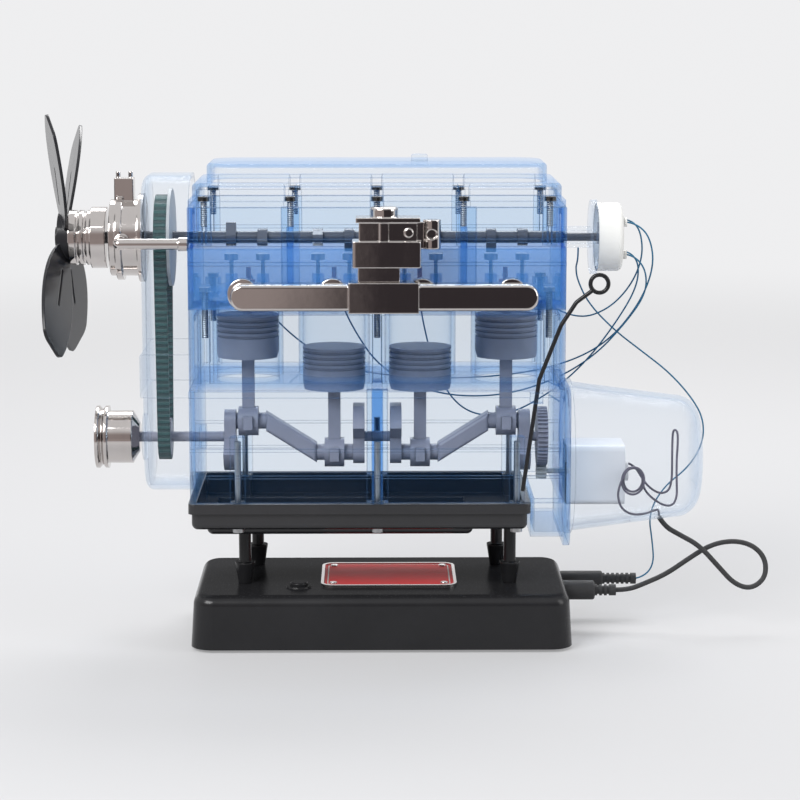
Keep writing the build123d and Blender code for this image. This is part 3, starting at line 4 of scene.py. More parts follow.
import bmesh
import bpy
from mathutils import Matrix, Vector


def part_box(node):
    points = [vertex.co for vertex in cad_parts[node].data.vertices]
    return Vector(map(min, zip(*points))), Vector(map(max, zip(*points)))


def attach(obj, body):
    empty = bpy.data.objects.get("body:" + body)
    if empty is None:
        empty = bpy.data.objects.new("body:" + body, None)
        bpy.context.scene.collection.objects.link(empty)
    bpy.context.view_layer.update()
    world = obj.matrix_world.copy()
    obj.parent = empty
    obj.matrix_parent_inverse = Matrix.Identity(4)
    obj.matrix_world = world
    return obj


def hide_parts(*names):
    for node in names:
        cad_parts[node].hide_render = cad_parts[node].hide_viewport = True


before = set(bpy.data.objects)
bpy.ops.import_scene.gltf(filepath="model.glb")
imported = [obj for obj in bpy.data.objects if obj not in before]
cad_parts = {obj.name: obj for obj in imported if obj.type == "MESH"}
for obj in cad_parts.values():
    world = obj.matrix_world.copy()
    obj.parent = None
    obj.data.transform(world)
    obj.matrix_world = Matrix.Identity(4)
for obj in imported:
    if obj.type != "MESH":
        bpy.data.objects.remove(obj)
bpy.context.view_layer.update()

bl_info = {
    "name": "Four stroke engine model",
    "version": (1, 0, 0),
    "blender": (4, 5, 0),
    "location": "View3D > Sidebar > Engine model",
    "description": "Finishes, leads, wires and studio for a see-through engine model",
    "category": "Object",
}

MM = 0.001


# Settings that a user would change

class CameraSettings(bpy.types.PropertyGroup):
    """Where the camera stands and looks"""
    place: bpy.props.FloatVectorProperty(
        name="Place", description="Where the camera stands", default=(-0.0041, -1.2076, 0.3083),
        size=3, subtype="TRANSLATION", unit="LENGTH"
    )
    pitch: bpy.props.FloatProperty(
        name="Pitch", description="Angle from looking straight down", default=radians(80.909),
        subtype="ANGLE", unit="ROTATION"
    )
    yaw: bpy.props.FloatProperty(
        name="Yaw", description="Turn about the upright axis", default=radians(-0.629),
        subtype="ANGLE", unit="ROTATION"
    )
    focal_length: bpy.props.FloatProperty(
        name="Focal length", description="Lens on a 36 mm sensor", default=112.57,
        subtype="DISTANCE_CAMERA", unit="CAMERA"
    )


class StudioSettings(bpy.types.PropertyGroup):
    """Floor, backdrop and lights"""
    floor_size: bpy.props.FloatProperty(
        name="Floor size", description="Side of the square floor", default=12.0,
        subtype="DISTANCE", unit="LENGTH"
    )
    floor_colour: bpy.props.FloatVectorProperty(
        name="Floor colour", description="Pale floor", default=(0.47, 0.47, 0.48), size=3, subtype="COLOR"
    )
    sky_colour: bpy.props.FloatVectorProperty(
        name="Backdrop colour", description="What the camera and bright metal see behind the object",
        default=(0.86, 0.86, 0.87), size=3, subtype="COLOR"
    )
    room_colour: bpy.props.FloatVectorProperty(
        name="Room colour", description="Dim room behind the camera, which only the plating mirrors",
        default=(0.050, 0.042, 0.046), size=3, subtype="COLOR"
    )
    haze_colour: bpy.props.FloatVectorProperty(
        name="Room's pale side", description="Paler left side of the mirrored room",
        default=(0.42, 0.36, 0.35), size=3, subtype="COLOR"
    )
    fill: bpy.props.FloatProperty(
        name="Fill", description="Strength of the light from all round", default=0.55, min=0.0
    )
    key_power: bpy.props.FloatProperty(
        name="Key light", description="Power of the large light at the front left", default=20.0,
        subtype="POWER", unit="POWER"
    )
    rim_power: bpy.props.FloatProperty(
        name="Rim light", description="Power of the light above and behind", default=16.0,
        subtype="POWER", unit="POWER"
    )
    side_power: bpy.props.FloatProperty(
        name="Side light", description="Power of the light at the right", default=4.5,
        subtype="POWER", unit="POWER"
    )


class PlasticSettings(bpy.types.PropertyGroup):
    """Colours of the plastics and the rubber"""
    clear_blue: bpy.props.FloatVectorProperty(
        name="Clear blue", description="Body colour of the blue see-through castings",
        default=(0.10, 0.30, 0.66), size=3, subtype="COLOR"
    )
    black: bpy.props.FloatVectorProperty(
        name="Black", description="Moulded base, pan and posts", default=(0.010, 0.010, 0.011),
        size=3, subtype="COLOR"
    )
    badge: bpy.props.FloatVectorProperty(
        name="Badge", description="Field of the badge plate", default=(0.70, 0.010, 0.012),
        size=3, subtype="COLOR"
    )
    piston: bpy.props.FloatVectorProperty(
        name="Pistons", description="Pistons", default=(0.25, 0.25, 0.30), size=3, subtype="COLOR"
    )
    crank: bpy.props.FloatVectorProperty(
        name="Crankshaft", description="Crankshaft and rods", default=(0.27, 0.27, 0.33),
        size=3, subtype="COLOR"
    )
    belt: bpy.props.FloatVectorProperty(
        name="Belt", description="Timing belt", default=(0.006, 0.045, 0.042), size=3, subtype="COLOR"
    )
    wire: bpy.props.FloatVectorProperty(
        name="Thin wires", description="Spark leads and feed wire", default=(0.008, 0.080, 0.15),
        size=3, subtype="COLOR"
    )


class MetalSettings(bpy.types.PropertyGroup):
    """Colours of the plating and the steel"""
    chrome: bpy.props.FloatVectorProperty(
        name="Chrome", description="Plated trim", default=(0.62, 0.585, 0.565), size=3, subtype="COLOR"
    )
    steel: bpy.props.FloatVectorProperty(
        name="Steel", description="Screws and valves", default=(0.50, 0.51, 0.52), size=3, subtype="COLOR"
    )


class LeadSettings(bpy.types.PropertyGroup):
    """Thickness and length of the leads and the wires"""
    radius: bpy.props.FloatProperty(
        name="Radius", description="Half the motor lead's thickness", default=1.25 * MM,
        subtype="DISTANCE", unit="LENGTH"
    )
    length: bpy.props.FloatProperty(
        name="Length", description="Whole length of the motor lead", default=160.7 * MM,
        subtype="DISTANCE", unit="LENGTH"
    )
    inner_radius: bpy.props.FloatProperty(
        name="Inner radius", description="Half the thickness of the lead inside the housing", default=0.55 * MM,
        subtype="DISTANCE", unit="LENGTH"
    )
    inner_length: bpy.props.FloatProperty(
        name="Inner length", description="Length of the lead inside the housing", default=259.2 * MM,
        subtype="DISTANCE", unit="LENGTH"
    )
    wire_radius: bpy.props.FloatProperty(
        name="Wire radius", description="Half a thin wire's thickness", default=0.4 * MM,
        subtype="DISTANCE", unit="LENGTH"
    )
    spark_lengths: bpy.props.FloatVectorProperty(
        name="Spark lead lengths", description="From the first cylinder's lead to the fourth's",
        default=(305.6 * MM, 263.0 * MM, 232.6 * MM, 133.0 * MM), size=4, unit="LENGTH"
    )
    feed_length: bpy.props.FloatProperty(
        name="Feed wire length", description="From the rear plug to the distributor", default=234.0 * MM,
        subtype="DISTANCE", unit="LENGTH"
    )


# Node trees

def shaded(colour, share):
    """A colour with each of its numbers times a share."""
    return [share * part for part in colour]


def how_far(x, y):
    """Distance from the point where both are nothing."""
    return (x * x + y * y) ** 0.5


class Socket:
    """A socket that a node gives out. Arithmetic on it adds Math nodes."""

    def __init__(self, kit, socket):
        self.kit = kit
        self.socket = socket

    def maths(self, operation, first, second=0.0):
        return self.kit.add("ShaderNodeMath", {"operation": operation}, {0: first, 1: second})

    def __add__(self, other):
        return self.maths("ADD", self, other)

    def __radd__(self, other):
        return self.maths("ADD", other, self)

    def __sub__(self, other):
        return self.maths("SUBTRACT", self, other)

    def __rsub__(self, other):
        return self.maths("SUBTRACT", other, self)

    def __neg__(self):
        return self.maths("SUBTRACT", 0.0, self)

    def __mul__(self, other):
        return self.maths("MULTIPLY", self, other)

    def __rmul__(self, other):
        return self.maths("MULTIPLY", other, self)

    def __pow__(self, other):
        return self.maths("POWER", self, other)

    def __abs__(self):
        return self.maths("ABSOLUTE", self)

    def least(self, other):
        """The smaller of the two."""
        return self.maths("MINIMUM", self, other)

    def most(self, other):
        """The larger of the two."""
        return self.maths("MAXIMUM", self, other)

    def zigzag(self, half_period):
        """Goes from 0 up to the half period and back to 0, over and over."""
        return self.maths("PINGPONG", self, half_period)

    def above(self, edge, softness):
        """Rises smoothly from 0 to 1 as this passes an edge."""
        values = {"Value": self, "From Min": edge - softness, "From Max": edge + softness}
        return self.kit.add("ShaderNodeMapRange", {"interpolation_type": "SMOOTHSTEP", "clamp": True}, values)


class NodeKit:
    """Adds nodes to one tree."""

    def __init__(self, tree):
        self.tree = tree
        tree.nodes.clear()

    def add(self, kind, settings=None, values=None, output=0):
        """Adds a node of a type, sets it, then fills or links its sockets."""
        node = self.tree.nodes.new(kind)
        for name, setting in (settings or {}).items():
            setattr(node, name, setting)
        for name, value in (values or {}).items():
            if isinstance(value, Socket):
                self.tree.links.new(value.socket, node.inputs[name])
            else:
                node.inputs[name].default_value = value
        return Socket(self, node.outputs[output])

    def place(self, stretch=(1, 1, 1), centre=(0, 0, 0), turn=(0, 0, 0)):
        """Object coordinates, moved to a centre, turned and stretched."""
        spot = self.add("ShaderNodeTexCoord", output="Object")
        shifted = self.add("ShaderNodeVectorMath", {"operation": "SUBTRACT"}, {0: spot, 1: centre})
        values = {"Vector": shifted, "Rotation": turn, "Scale": stretch}
        return self.add("ShaderNodeMapping", {"vector_type": "POINT"}, values)

    def parts(self, vector):
        """The three numbers of a vector."""
        split = self.add("ShaderNodeSeparateXYZ", values={0: vector})
        return [Socket(self, socket) for socket in split.socket.node.outputs]

    def noise(self, vector, scale, detail, roughness=0.5):
        """Soft cloud whose scale is the number of patches in a metre."""
        values = {"Vector": vector, "Scale": scale, "Detail": detail, "Roughness": roughness}
        return self.add("ShaderNodeTexNoise", values=values)

    def colour(self, value):
        """A link as it is, or three numbers as an opaque colour."""
        return value if isinstance(value, Socket) else (*value, 1.0)

    def blend(self, share, first, second):
        """One colour passing into another."""
        values = {0: share, 6: self.colour(first), 7: self.colour(second)}
        return self.add("ShaderNodeMix", {"data_type": "RGBA"}, values, output=2)

    def outline(self):
        """Nothing where the surface is seen straight on, and one at its outline."""
        return self.add("ShaderNodeLayerWeight", values={"Blend": 0.5}, output="Facing")

    def facing_up(self, least, softness):
        """One where the normal's upward part is over the least, and nothing on walls."""
        normal = self.add("ShaderNodeNewGeometry", output="Normal")
        return self.parts(normal)[2].above(least, softness)

    def rounded(self, radius, samples):
        """The normal, with the edges rounded to a radius."""
        return self.add("ShaderNodeBevel", {"samples": samples}, {"Radius": radius})

    def near_edge(self, radius):
        """One along the edges and nothing on the flats."""
        flat = self.add("ShaderNodeNewGeometry", output="Normal")
        normals = {0: self.rounded(radius, samples=4), 1: flat}
        alike = self.add("ShaderNodeVectorMath", {"operation": "DOT_PRODUCT"}, normals, output="Value")
        return (1.0 - alike).above(0.07, softness=0.06)

    def bump(self, height, distance, strength, edge=0.0):
        """A fine relief, with the edges rounded to a radius where one is given."""
        values = {"Height": height, "Distance": distance, "Strength": strength}
        if edge:
            values["Normal"] = self.rounded(edge, samples=8)
        return self.add("ShaderNodeBump", values=values)

    def principled(self, colour, roughness, normal, more=None):
        """The usual surface, with more of its sockets set where they are given."""
        values = {"Base Color": self.colour(colour), "Roughness": roughness, "Normal": normal}
        return self.add("ShaderNodeBsdfPrincipled", values={**values, **(more or {})})

    def mix(self, share, first, second):
        """One shader passing into another."""
        return self.add("ShaderNodeMixShader", values={0: share, 1: first, 2: second})

    def finish(self, surface, kind="ShaderNodeOutputMaterial", inside=None):
        """Ends the tree with a surface, and with what fills the solid where that is given."""
        output = self.tree.nodes.new(kind)
        self.tree.links.new(surface.socket, output.inputs["Surface"])
        if inside:
            self.tree.links.new(inside.socket, output.inputs["Volume"])


def new_material(name):
    material = bpy.data.materials.new(name)
    material.use_nodes = True
    return material, NodeKit(material.node_tree)


# Finishes

def gloss_black(name, colour, haze=0.14, dust=0.05, shine=0.25, matt_top=0.0):
    """Black moulding, softly wavy and hazy, with a little dust on what faces up, which matt_top makes duller."""
    dust_colour = (0.55, 0.56, 0.58)
    speck_size = 0.2
    material, kit = new_material(name)
    place = kit.place()
    cloud = kit.noise(place, scale=38.0, detail=5.0, roughness=0.6)
    waves = kit.noise(place, scale=95.0, detail=2.0)
    grain = kit.noise(place, scale=1900.0, detail=2.0)
    up = kit.facing_up(0.8, softness=0.15)
    specks = kit.add("ShaderNodeTexVoronoi", values={"Vector": place, "Scale": 900.0})
    dusty = up * (speck_size - specks).above(0.0, softness=0.03) * dust
    body = kit.blend(cloud, colour, shaded(colour, 1.9))
    body = kit.blend(dusty, body, dust_colour)
    normal = kit.bump(waves * 0.8 + grain * 0.05, distance=0.05 * MM, strength=0.6, edge=0.7 * MM)
    surface = kit.principled(body, 0.15 + cloud * haze, normal, {"Specular IOR Level": shine})
    if matt_top:
        matt = kit.principled(body, 0.6, normal, {"Specular IOR Level": 0.0})
        surface = kit.mix(up * matt_top, surface, matt)
    kit.finish(surface)
    return material


def matt_rubber(name, colour):
    """Rubber with a fine grain and scuffs."""
    material, kit = new_material(name)
    place = kit.place()
    scuffs = kit.noise(place, scale=260.0, detail=4.0, roughness=0.65)
    grain = kit.noise(place, scale=3200.0, detail=2.0)
    scuffed = [part + 0.01 for part in shaded(colour, 2.2)]
    body = kit.blend(scuffs, colour, scuffed)
    normal = kit.bump(grain, distance=0.04 * MM, strength=0.7)
    kit.finish(kit.principled(body, 0.55 + scuffs * 0.3, normal))
    return material


def satin_plastic(name, colour, lowest=0.34, shade=0.72):
    """Moulded engineering plastic, slightly uneven in colour and sheen, and darker in its creases by painted shade.
    """
    crease_shade_settings = {"samples": 8, "only_local": True}
    material, kit = new_material(name)
    place = kit.place()
    cloud = kit.noise(place, scale=110.0, detail=4.0, roughness=0.6)
    grain = kit.noise(place, scale=2400.0, detail=2.0)
    # Painted shade: ambient occlusion darkens the colour in creases and grooves, down to 0.3 of it
    crease_shade = kit.add("ShaderNodeAmbientOcclusion", crease_shade_settings, {"Distance": 1.6 * MM}, output="AO")
    body = kit.blend(cloud, shaded(colour, shade), colour)
    body = kit.blend(crease_shade.above(0.6, softness=0.35), shaded(colour, 0.3), body)
    normal = kit.bump(grain + cloud * 0.6, distance=0.02 * MM, strength=0.6)
    kit.finish(kit.principled(body, lowest + cloud * 0.16, normal))
    return material


def chrome(name, colour):
    """Vacuum plated plastic: mirror bright, gently wavy, with faint handling haze."""
    material, kit = new_material(name)
    place = kit.place()
    waves = kit.noise(place, scale=70.0, detail=2.0)
    ripple = kit.noise(place, scale=240.0, detail=3.0)
    wiped = kit.place(stretch=(1.0, 1.0, 0.3), turn=(0.0, radians(25), 0.0))
    smears = kit.noise(wiped, scale=120.0, detail=5.0, roughness=0.65)
    body = kit.blend(smears, shaded(colour, 0.86), colour)
    normal = kit.bump(waves + ripple * 0.2, distance=0.06 * MM, strength=0.5, edge=0.9 * MM)
    rough = 0.04 + smears.above(0.62, softness=0.2) * 0.07
    kit.finish(kit.principled(body, rough, normal, {"Metallic": 1.0}))
    return material


def turned_steel(name, colour):
    """Small turned hardware, with rings from the cutting tool and dulled spots."""
    material, kit = new_material(name)
    place = kit.place()
    marks = kit.noise(kit.place(stretch=(1.0, 1.0, 9.0)), scale=900.0, detail=3.0)
    stains = kit.noise(place, scale=420.0, detail=4.0, roughness=0.6)
    body = kit.blend(stains, shaded(colour, 0.6), colour)
    normal = kit.bump(marks, distance=0.02 * MM, strength=0.6)
    kit.finish(kit.principled(body, 0.22 + stains * 0.2, normal, {"Metallic": 1.0}))
    return material


def clear_plastic(
    name, body_colour, inner_colour, density, least=0.015, most=0.75, curve=5.0, thick_below=None
):
    """Clear moulding, darkened along its edges by painted shade, and deeper in colour where the light has further
    to go inside it.

    Seen straight on it hides the least of what is behind it, and at an outline the most.
    """
    edge_radius, painted_edge_shade, edge_share = 0.6 * MM, 0.3, 0.5
    thick_share, thick_softness = 0.3, 0.6 * MM
    most_anywhere = 0.9
    clear_tint = (0.99, 0.995, 1.0)
    material, kit = new_material(name)
    place = kit.place()
    waves = kit.noise(place, scale=60.0, detail=2.0)
    flow = kit.noise(kit.place(stretch=(1.0, 1.0, 0.35)), scale=55.0, detail=3.0, roughness=0.6)
    wiped = kit.place(stretch=(0.15, 1.0, 1.0), turn=(0.0, radians(12), 0.0))
    scratches = kit.noise(wiped, scale=1500.0, detail=2.0)
    normal = kit.bump(waves + flow * 0.2, distance=0.05 * MM, strength=0.5)
    body = kit.blend(flow, shaded(body_colour, 0.82), body_colour)
    # Painted shade: along the edges the colour darkens and more of the wall shows, standing in for how light bends
    # at a clear edge
    edge = kit.near_edge(edge_radius)
    body = kit.blend(edge, body, shaded(body_colour, painted_edge_shade))
    rough = 0.04 + scratches.above(0.72, softness=0.08) * 0.2
    wall = kit.principled(body, rough, normal, {"Specular IOR Level": 0.6})
    passed = kit.add("ShaderNodeBsdfTransparent", values={"Color": kit.colour(clear_tint)})
    solid = least + (kit.outline() ** curve) * (most - least)
    if thick_below:
        height = kit.parts(place)[2]
        solid = solid + (1.0 - height.above(thick_below, thick_softness)) * thick_share
    solid = (solid + edge * edge_share).least(most_anywhere)
    absorbed = {"Color": kit.colour(inner_colour), "Density": density}
    inside = kit.add("ShaderNodeVolumeAbsorption", values=absorbed)
    kit.finish(kit.mix(solid, passed, wall), inside=inside)
    return material


def toothed_rubber(name, colour, pitch):
    """Belt rubber with a rib across it at every tooth, the ribs painted paler and the gaps darker as painted light
    and shade.
    """
    material, kit = new_material(name)
    place = kit.place()
    scuffs = kit.noise(place, scale=300.0, detail=4.0, roughness=0.65)
    height = kit.parts(place)[2]
    wave = height.zigzag(pitch / 2) * (2.0 / pitch)
    rib = wave.above(0.5, softness=0.2)
    # Painted light and shade: ribs paler and gaps darker; the scuffs add real unevenness on top
    body = kit.blend(rib * 0.6 + scuffs * 0.3, shaded(colour, 0.45), shaded(colour, 1.5))
    normal = kit.bump(rib, distance=0.5 * MM, strength=0.8)
    kit.finish(kit.principled(body, 0.45 + scuffs * 0.3, normal))
    return material


def cross_screw(name, colour, thread_colour, seat_z, pitch_x, start_x, away_y):
    """Screws in two rows, each with a cross recess in its head and a thread below its seat, with painted shade in
    the recess and painted light and shade across each turn of the thread.
    """
    slot_half_width, slot_reach = 0.32 * MM, 1.45 * MM
    thread_half_pitch = 0.45 * MM
    material, kit = new_material(name)
    x, y, z = kit.parts(kit.place(centre=(start_x, 0.0, 0.0)))
    across = x.zigzag(pitch_x / 2)
    along = abs(abs(y) - away_y)
    up = kit.facing_up(0.7, softness=0.1)
    narrow = 1.0 - across.least(along).above(slot_half_width, softness=0.08 * MM)
    short = 1.0 - across.most(along).above(slot_reach, softness=0.15 * MM)
    recess = narrow * short * up
    stains = kit.noise(kit.place(), scale=420.0, detail=4.0, roughness=0.6)
    thread = 1.0 - z.above(seat_z, softness=0.1 * MM)
    turn = z.zigzag(thread_half_pitch) * (1.0 / thread_half_pitch)
    body = kit.blend(stains, shaded(colour, 0.6), colour)
    # Painted shade: the cross recess is darkened to 0.12 of the colour
    body = kit.blend(recess, body, shaded(colour, 0.12))
    # Painted light and shade: the colour darkens and brightens across each turn of the thread
    body = kit.blend(thread, body, kit.blend(turn, shaded(thread_colour, 0.6), thread_colour))
    normal = kit.bump((1.0 - recess) + turn * thread * 0.4, distance=0.8 * MM, strength=0.9)
    kit.finish(kit.principled(body, 0.25 + stains * 0.2 + recess * 0.3, normal, {"Metallic": 1.0}))
    return material


def badge_finish(colour):
    """Red enamel field with a thin pale line, inside a bright rim, with bright rivets, all on one plate."""
    rim_width, rivet_radius = 1.428 * MM, 1.9 * MM
    line_start, line_end = 3.0 * MM, 3.6 * MM
    corner = 6.0 * MM
    line_colour, bright_colour = (0.62, 0.60, 0.58), (0.66, 0.65, 0.64)
    material, kit = new_material("badge plate")
    low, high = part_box("badge_plate")
    half = (high - low) / 2
    x, y, _ = kit.parts(kit.place(centre=tuple((low + high) / 2)))
    from_rivet_x = abs(x) - (half.x - corner)
    from_rivet_y = abs(y) - (half.y - corner)
    inward = corner - how_far(from_rivet_x.most(0.0), from_rivet_y.most(0.0))
    rim = 1.0 - inward.above(rim_width, softness=0.05 * MM)
    rivet = 1.0 - how_far(from_rivet_x, from_rivet_y).above(rivet_radius, softness=0.05 * MM)
    line = inward.above(line_start, softness=0.08 * MM) - inward.above(line_end, softness=0.08 * MM)
    bright = rim.most(rivet)
    cloud = kit.noise(kit.place(), scale=90.0, detail=4.0)
    enamel = kit.blend(cloud, shaded(colour, 0.75), colour)
    enamel = kit.blend(line, enamel, line_colour)
    body = kit.blend(bright, enamel, bright_colour)
    grain = kit.noise(kit.place(), scale=1500.0, detail=2.0)
    normal = kit.bump(grain, distance=0.02 * MM, strength=0.5)
    rough = 0.42 + cloud * 0.1 - bright * 0.22
    kit.finish(kit.principled(body, rough, normal, {"Metallic": bright, "Specular IOR Level": 0.12}))
    return material


# Pieces of the build

def settings():
    """The values that a user may change."""
    return bpy.context.scene.engine_model


def paint(material, *names):
    """Gives CAD nodes a finish."""
    for name in names:
        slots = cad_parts[name].data.materials
        slots.clear()
        slots.append(material)


def nodes_called(*starts):
    """Names of the CAD nodes whose names start in one of these ways."""
    return [name for name in sorted(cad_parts) if name.startswith(starts)]


class ENGINE_OT_camera(bpy.types.Operator):
    """Places the camera at the photograph's viewing angle"""
    bl_idname = "engine_model.camera"
    bl_label = "Camera"

    def execute(self, context):
        chosen = settings().camera
        data = bpy.data.cameras.new("camera")
        data.sensor_width = 36.0
        data.lens = chosen.focal_length
        data.clip_start = 0.05
        camera = bpy.data.objects.new("camera", data)
        camera.location = chosen.place
        camera.rotation_euler = (chosen.pitch, 0.0, chosen.yaw)
        context.scene.collection.objects.link(camera)
        context.scene.camera = camera
        return {"FINISHED"}


# Routes of the lead and the wires, in millimetres
lead_route_mm = [
    (136.8, 0, 56.6), (139.6, -1.2, 52.0), (146.5, -3.0, 48.3), (156.5, -4.2, 43.0), (166.0, -4.6, 32.5),
    (174.0, -4.4, 23.6), (182.6, -3.0, 20.6), (190.2, 0.0, 25.4), (190.6, 3.0, 34.4), (184.6, 4.8, 41.0),
    (175.0, 5.4, 43.4), (163.5, 5.0, 41.4), (152.5, 4.2, 34.5), (141.5, 3.2, 27.0), (131.0, 2.4, 22.5),
    (122.5, 2.0, 19.2), (116.15, 2.0, 19.2),
]
spark_lead_routes_mm = [
    [
        (118.1, -7.8, 202.7), (123.0, -7.6, 202.0), (130.0, -4.0, 195.0), (133.0, 4.0, 180.0), (128.0, 20.0, 160.0),
        (114.0, 38.0, 138.0), (92.0, 49.0, 125.0), (60.0, 56.0, 118.0), (20.0, 57.5, 117.0), (-20.0, 56.0, 122.0),
        (-46.0, 53.0, 140.0), (-61.0, 49.5, 158.0), (-64.85, 44.5, 171.0), (-64.85, 38.0, 172.2),
    ],
    [
        (118.1, -7.8, 187.1), (122.5, -7.6, 186.3), (128.5, -3.0, 178.5), (129.5, 8.0, 166.0), (122.0, 26.0, 150.0),
        (108.0, 41.0, 131.0), (88.0, 50.0, 117.0), (60.0, 54.0, 108.0), (28.0, 55.0, 109.0), (0.0, 54.0, 122.0),
        (-15.0, 51.0, 145.0), (-21.5, 48.0, 162.0), (-22.95, 44.0, 171.5), (-22.95, 38.0, 172.2),
    ],
    [
        (118.1, 7.8, 187.1), (122.0, 8.0, 186.6), (126.5, 11.0, 180.0), (126.0, 20.0, 167.0), (117.0, 33.0, 148.0),
        (104.0, 43.0, 128.0), (88.0, 49.0, 112.0), (64.0, 52.0, 98.0), (42.0, 52.0, 100.0), (28.0, 51.0, 120.0),
        (21.0, 50.0, 148.0), (19.2, 48.0, 163.0), (18.95, 44.0, 171.5), (18.95, 38.0, 172.2),
    ],
    [
        (118.1, 7.8, 202.7), (122.5, 7.9, 202.2), (127.0, 9.5, 196.0), (128.5, 15.0, 183.0), (124.0, 26.0, 168.0),
        (114.0, 37.0, 155.0), (100.0, 45.0, 149.0), (82.0, 48.5, 157.0), (67.0, 48.0, 168.0), (60.85, 44.5, 171.8),
        (60.85, 38.0, 172.2),
    ],
]
feed_route_mm = [
    (128.65, 27.0, 19.2), (133.5, 27.3, 20.2), (138.0, 28.5, 26.5), (137.5, 32.0, 36.5), (136.0, 39.0, 50.0),
    (144.0, 44.0, 63.0), (157.0, 45.0, 73.0), (164.0, 44.0, 86.0), (163.5, 42.5, 99.0), (156.5, 42.0, 110.5),
    (145.5, 42.0, 122.5), (132.5, 42.5, 132.5), (117.5, 41.0, 144.0), (104.0, 36.5, 158.0), (97.5, 28.0, 171.0),
    (95.8, 16.5, 178.5), (95.5, 6.0, 181.5), (95.5, 0.5, 185.2), (95.5, 0.0, 189.7),
]


lead_black = (0.012, 0.012, 0.013)


def smooth_cord(name, route, radius, material):
    """A cord along a smooth spline with the route's points as its control points."""
    curve = bpy.data.curves.new(name, "CURVE")
    curve.dimensions = "3D"
    curve.bevel_depth = radius
    curve.bevel_resolution = 5
    curve.use_fill_caps = True
    spline = curve.splines.new("NURBS")
    spline.points.add(len(route) - 1)
    for point, spot in zip(spline.points, route):
        point.co = (*[MM * number for number in spot], 1.0)
    spline.order_u = 3
    spline.use_endpoint_u = True
    spline.resolution_u = 16
    curve.materials.append(material)
    cord = bpy.data.objects.new(name, curve)
    bpy.context.scene.collection.objects.link(cord)
    return cord


class ENGINE_OT_motor_lead(bpy.types.Operator):
    """Lays the motor lead from the housing to its plug"""
    bl_idname = "engine_model.motor_lead"
    bl_label = "Motor lead"

    def execute(self, context):
        chosen = settings().lead
        sheath = matt_rubber("lead sheath", lead_black)
        cord = smooth_cord("motor_lead_sheath", lead_route_mm, chosen.radius, sheath)
        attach(cord, "engine")
        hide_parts("motor_lead")
        return {"FINISHED"}


def tied_coil_route():
    """The lead inside the housing, in millimetres: round a tied coil, up the end wall and back to the motor."""
    centre = Vector((121.9, -17.2, 78.2))
    across, along = Vector((4.9, 0.0, -1.6)), Vector((1.4, 0.0, 6.2))
    turns, steps, pitch = 2.5, 14, 1.25
    uneven, uneven_rate = 0.1, 2.4
    floor_run = [
        (136.8, 0.0, 57.2), (136.8, -1.2, 60.4), (133.8, -6.4, 61.2), (128.4, -13.8, 60.8), (121.6, -18.8, 61.4),
        (116.2, -19.8, 64.6), (114.4, -19.2, 70.6), (115.2, -18.9, 75.6),
    ]
    wall_run = [
        (128.6, -14.6, 71.8), (133.2, -12.6, 67.4), (138.4, -9.4, 64.0), (142.8, -6.6, 63.6), (145.0, -5.0, 67.4),
        (144.8, -4.2, 75.0), (144.6, -3.6, 85.0), (145.0, -4.4, 93.5), (145.0, -3.4, 100.0), (143.4, 2.2, 100.0),
        (143.2, 3.2, 93.5), (143.2, 2.6, 84.0), (143.2, 1.8, 74.6), (141.6, 1.2, 69.0), (136.8, 0.2, 68.0),
        (131.0, -1.0, 72.0), (127.2, -0.8, 77.6), (124.6, -0.2, 82.0), (121.3, 0.0, 83.4),
    ]
    coil = []
    for step in range(int(turns * steps) + 1):
        turn = step / steps
        angle = pi - 2 * pi * turn
        fan = 1.0 + uneven * sin(uneven_rate * turn)
        depth = Vector((0.0, pitch * (turn - turns / 2), 0.0))
        coil.append(tuple(centre + fan * across * cos(angle) + fan * along * sin(angle) + depth))
    return floor_run + coil + wall_run


class ENGINE_OT_tied_coil(bpy.types.Operator):
    """Lays the lead's spare length, tied in a small coil beside the drive motor"""
    bl_idname = "engine_model.tied_coil"
    bl_label = "Tied coil"

    def execute(self, context):
        chosen = settings().lead
        sheath = matt_rubber("inner lead sheath", (0.050, 0.044, 0.062))
        route = tied_coil_route()
        coil = smooth_cord("tied_coil", route, chosen.inner_radius, sheath)
        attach(coil, "engine")
        [MM * number for number in route[0]]
        return {"FINISHED"}


def thin_wire(name, node, route, material):
    """Lays one blue wire along its route in place of the node's plain tube."""
    radius = settings().lead.wire_radius
    wire = smooth_cord(name, route, radius, material)
    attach(wire, "engine")
    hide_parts(node)
    [MM * number for number in route[0]]


class ENGINE_OT_thin_wires(bpy.types.Operator):
    """Lays the four spark leads and the feed wire"""
    bl_idname = "engine_model.thin_wires"
    bl_label = "Spark leads and feed wire"

    def execute(self, context):
        chosen = settings().lead
        sheath = matt_rubber("wire sheath", settings().plastic.wire)
        for number, (route, length) in enumerate(zip(spark_lead_routes_mm, chosen.spark_lengths), start=1):
            thin_wire(f"spark_lead_{number}", "spark_leads", route, sheath)
        thin_wire("feed_wire_sheath", "feed_wire", feed_route_mm, sheath)
        return {"FINISHED"}


class ENGINE_OT_clear_castings(bpy.types.Operator):
    """Gives the see-through castings their blue and colourless plastic"""
    bl_idname = "engine_model.clear_castings"
    bl_label = "Clear castings"

    def execute(self, context):
        blue = settings().plastic.clear_blue
        glassy = (0.55, 0.68, 0.85)
        deep_blue = (0.0, 0.48, 0.89)
        faint_blue = (0.0, 0.35, 0.75)
        ledge_height = 193.0 * MM
        paint(clear_plastic("clear blue case", blue, deep_blue, density=22.0), "crankcase", "cylinder_block")
        head = clear_plastic("clear blue head", blue, deep_blue, density=58.0, thick_below=ledge_height)
        paint(head, "cylinder_head")
        paint(clear_plastic("clear blue plate", blue, deep_blue, density=22.0), "rear_plate")
        paint(clear_plastic("clear pale cover", blue, deep_blue, density=12.0), "rocker_cover")
        colourless = clear_plastic(
            "colourless cover", glassy, faint_blue, density=7.0, least=0.02, most=0.5, curve=4.0
        )
        paint(colourless, "timing_cover", "bell_housing", "distributor_body")
        return {"FINISHED"}


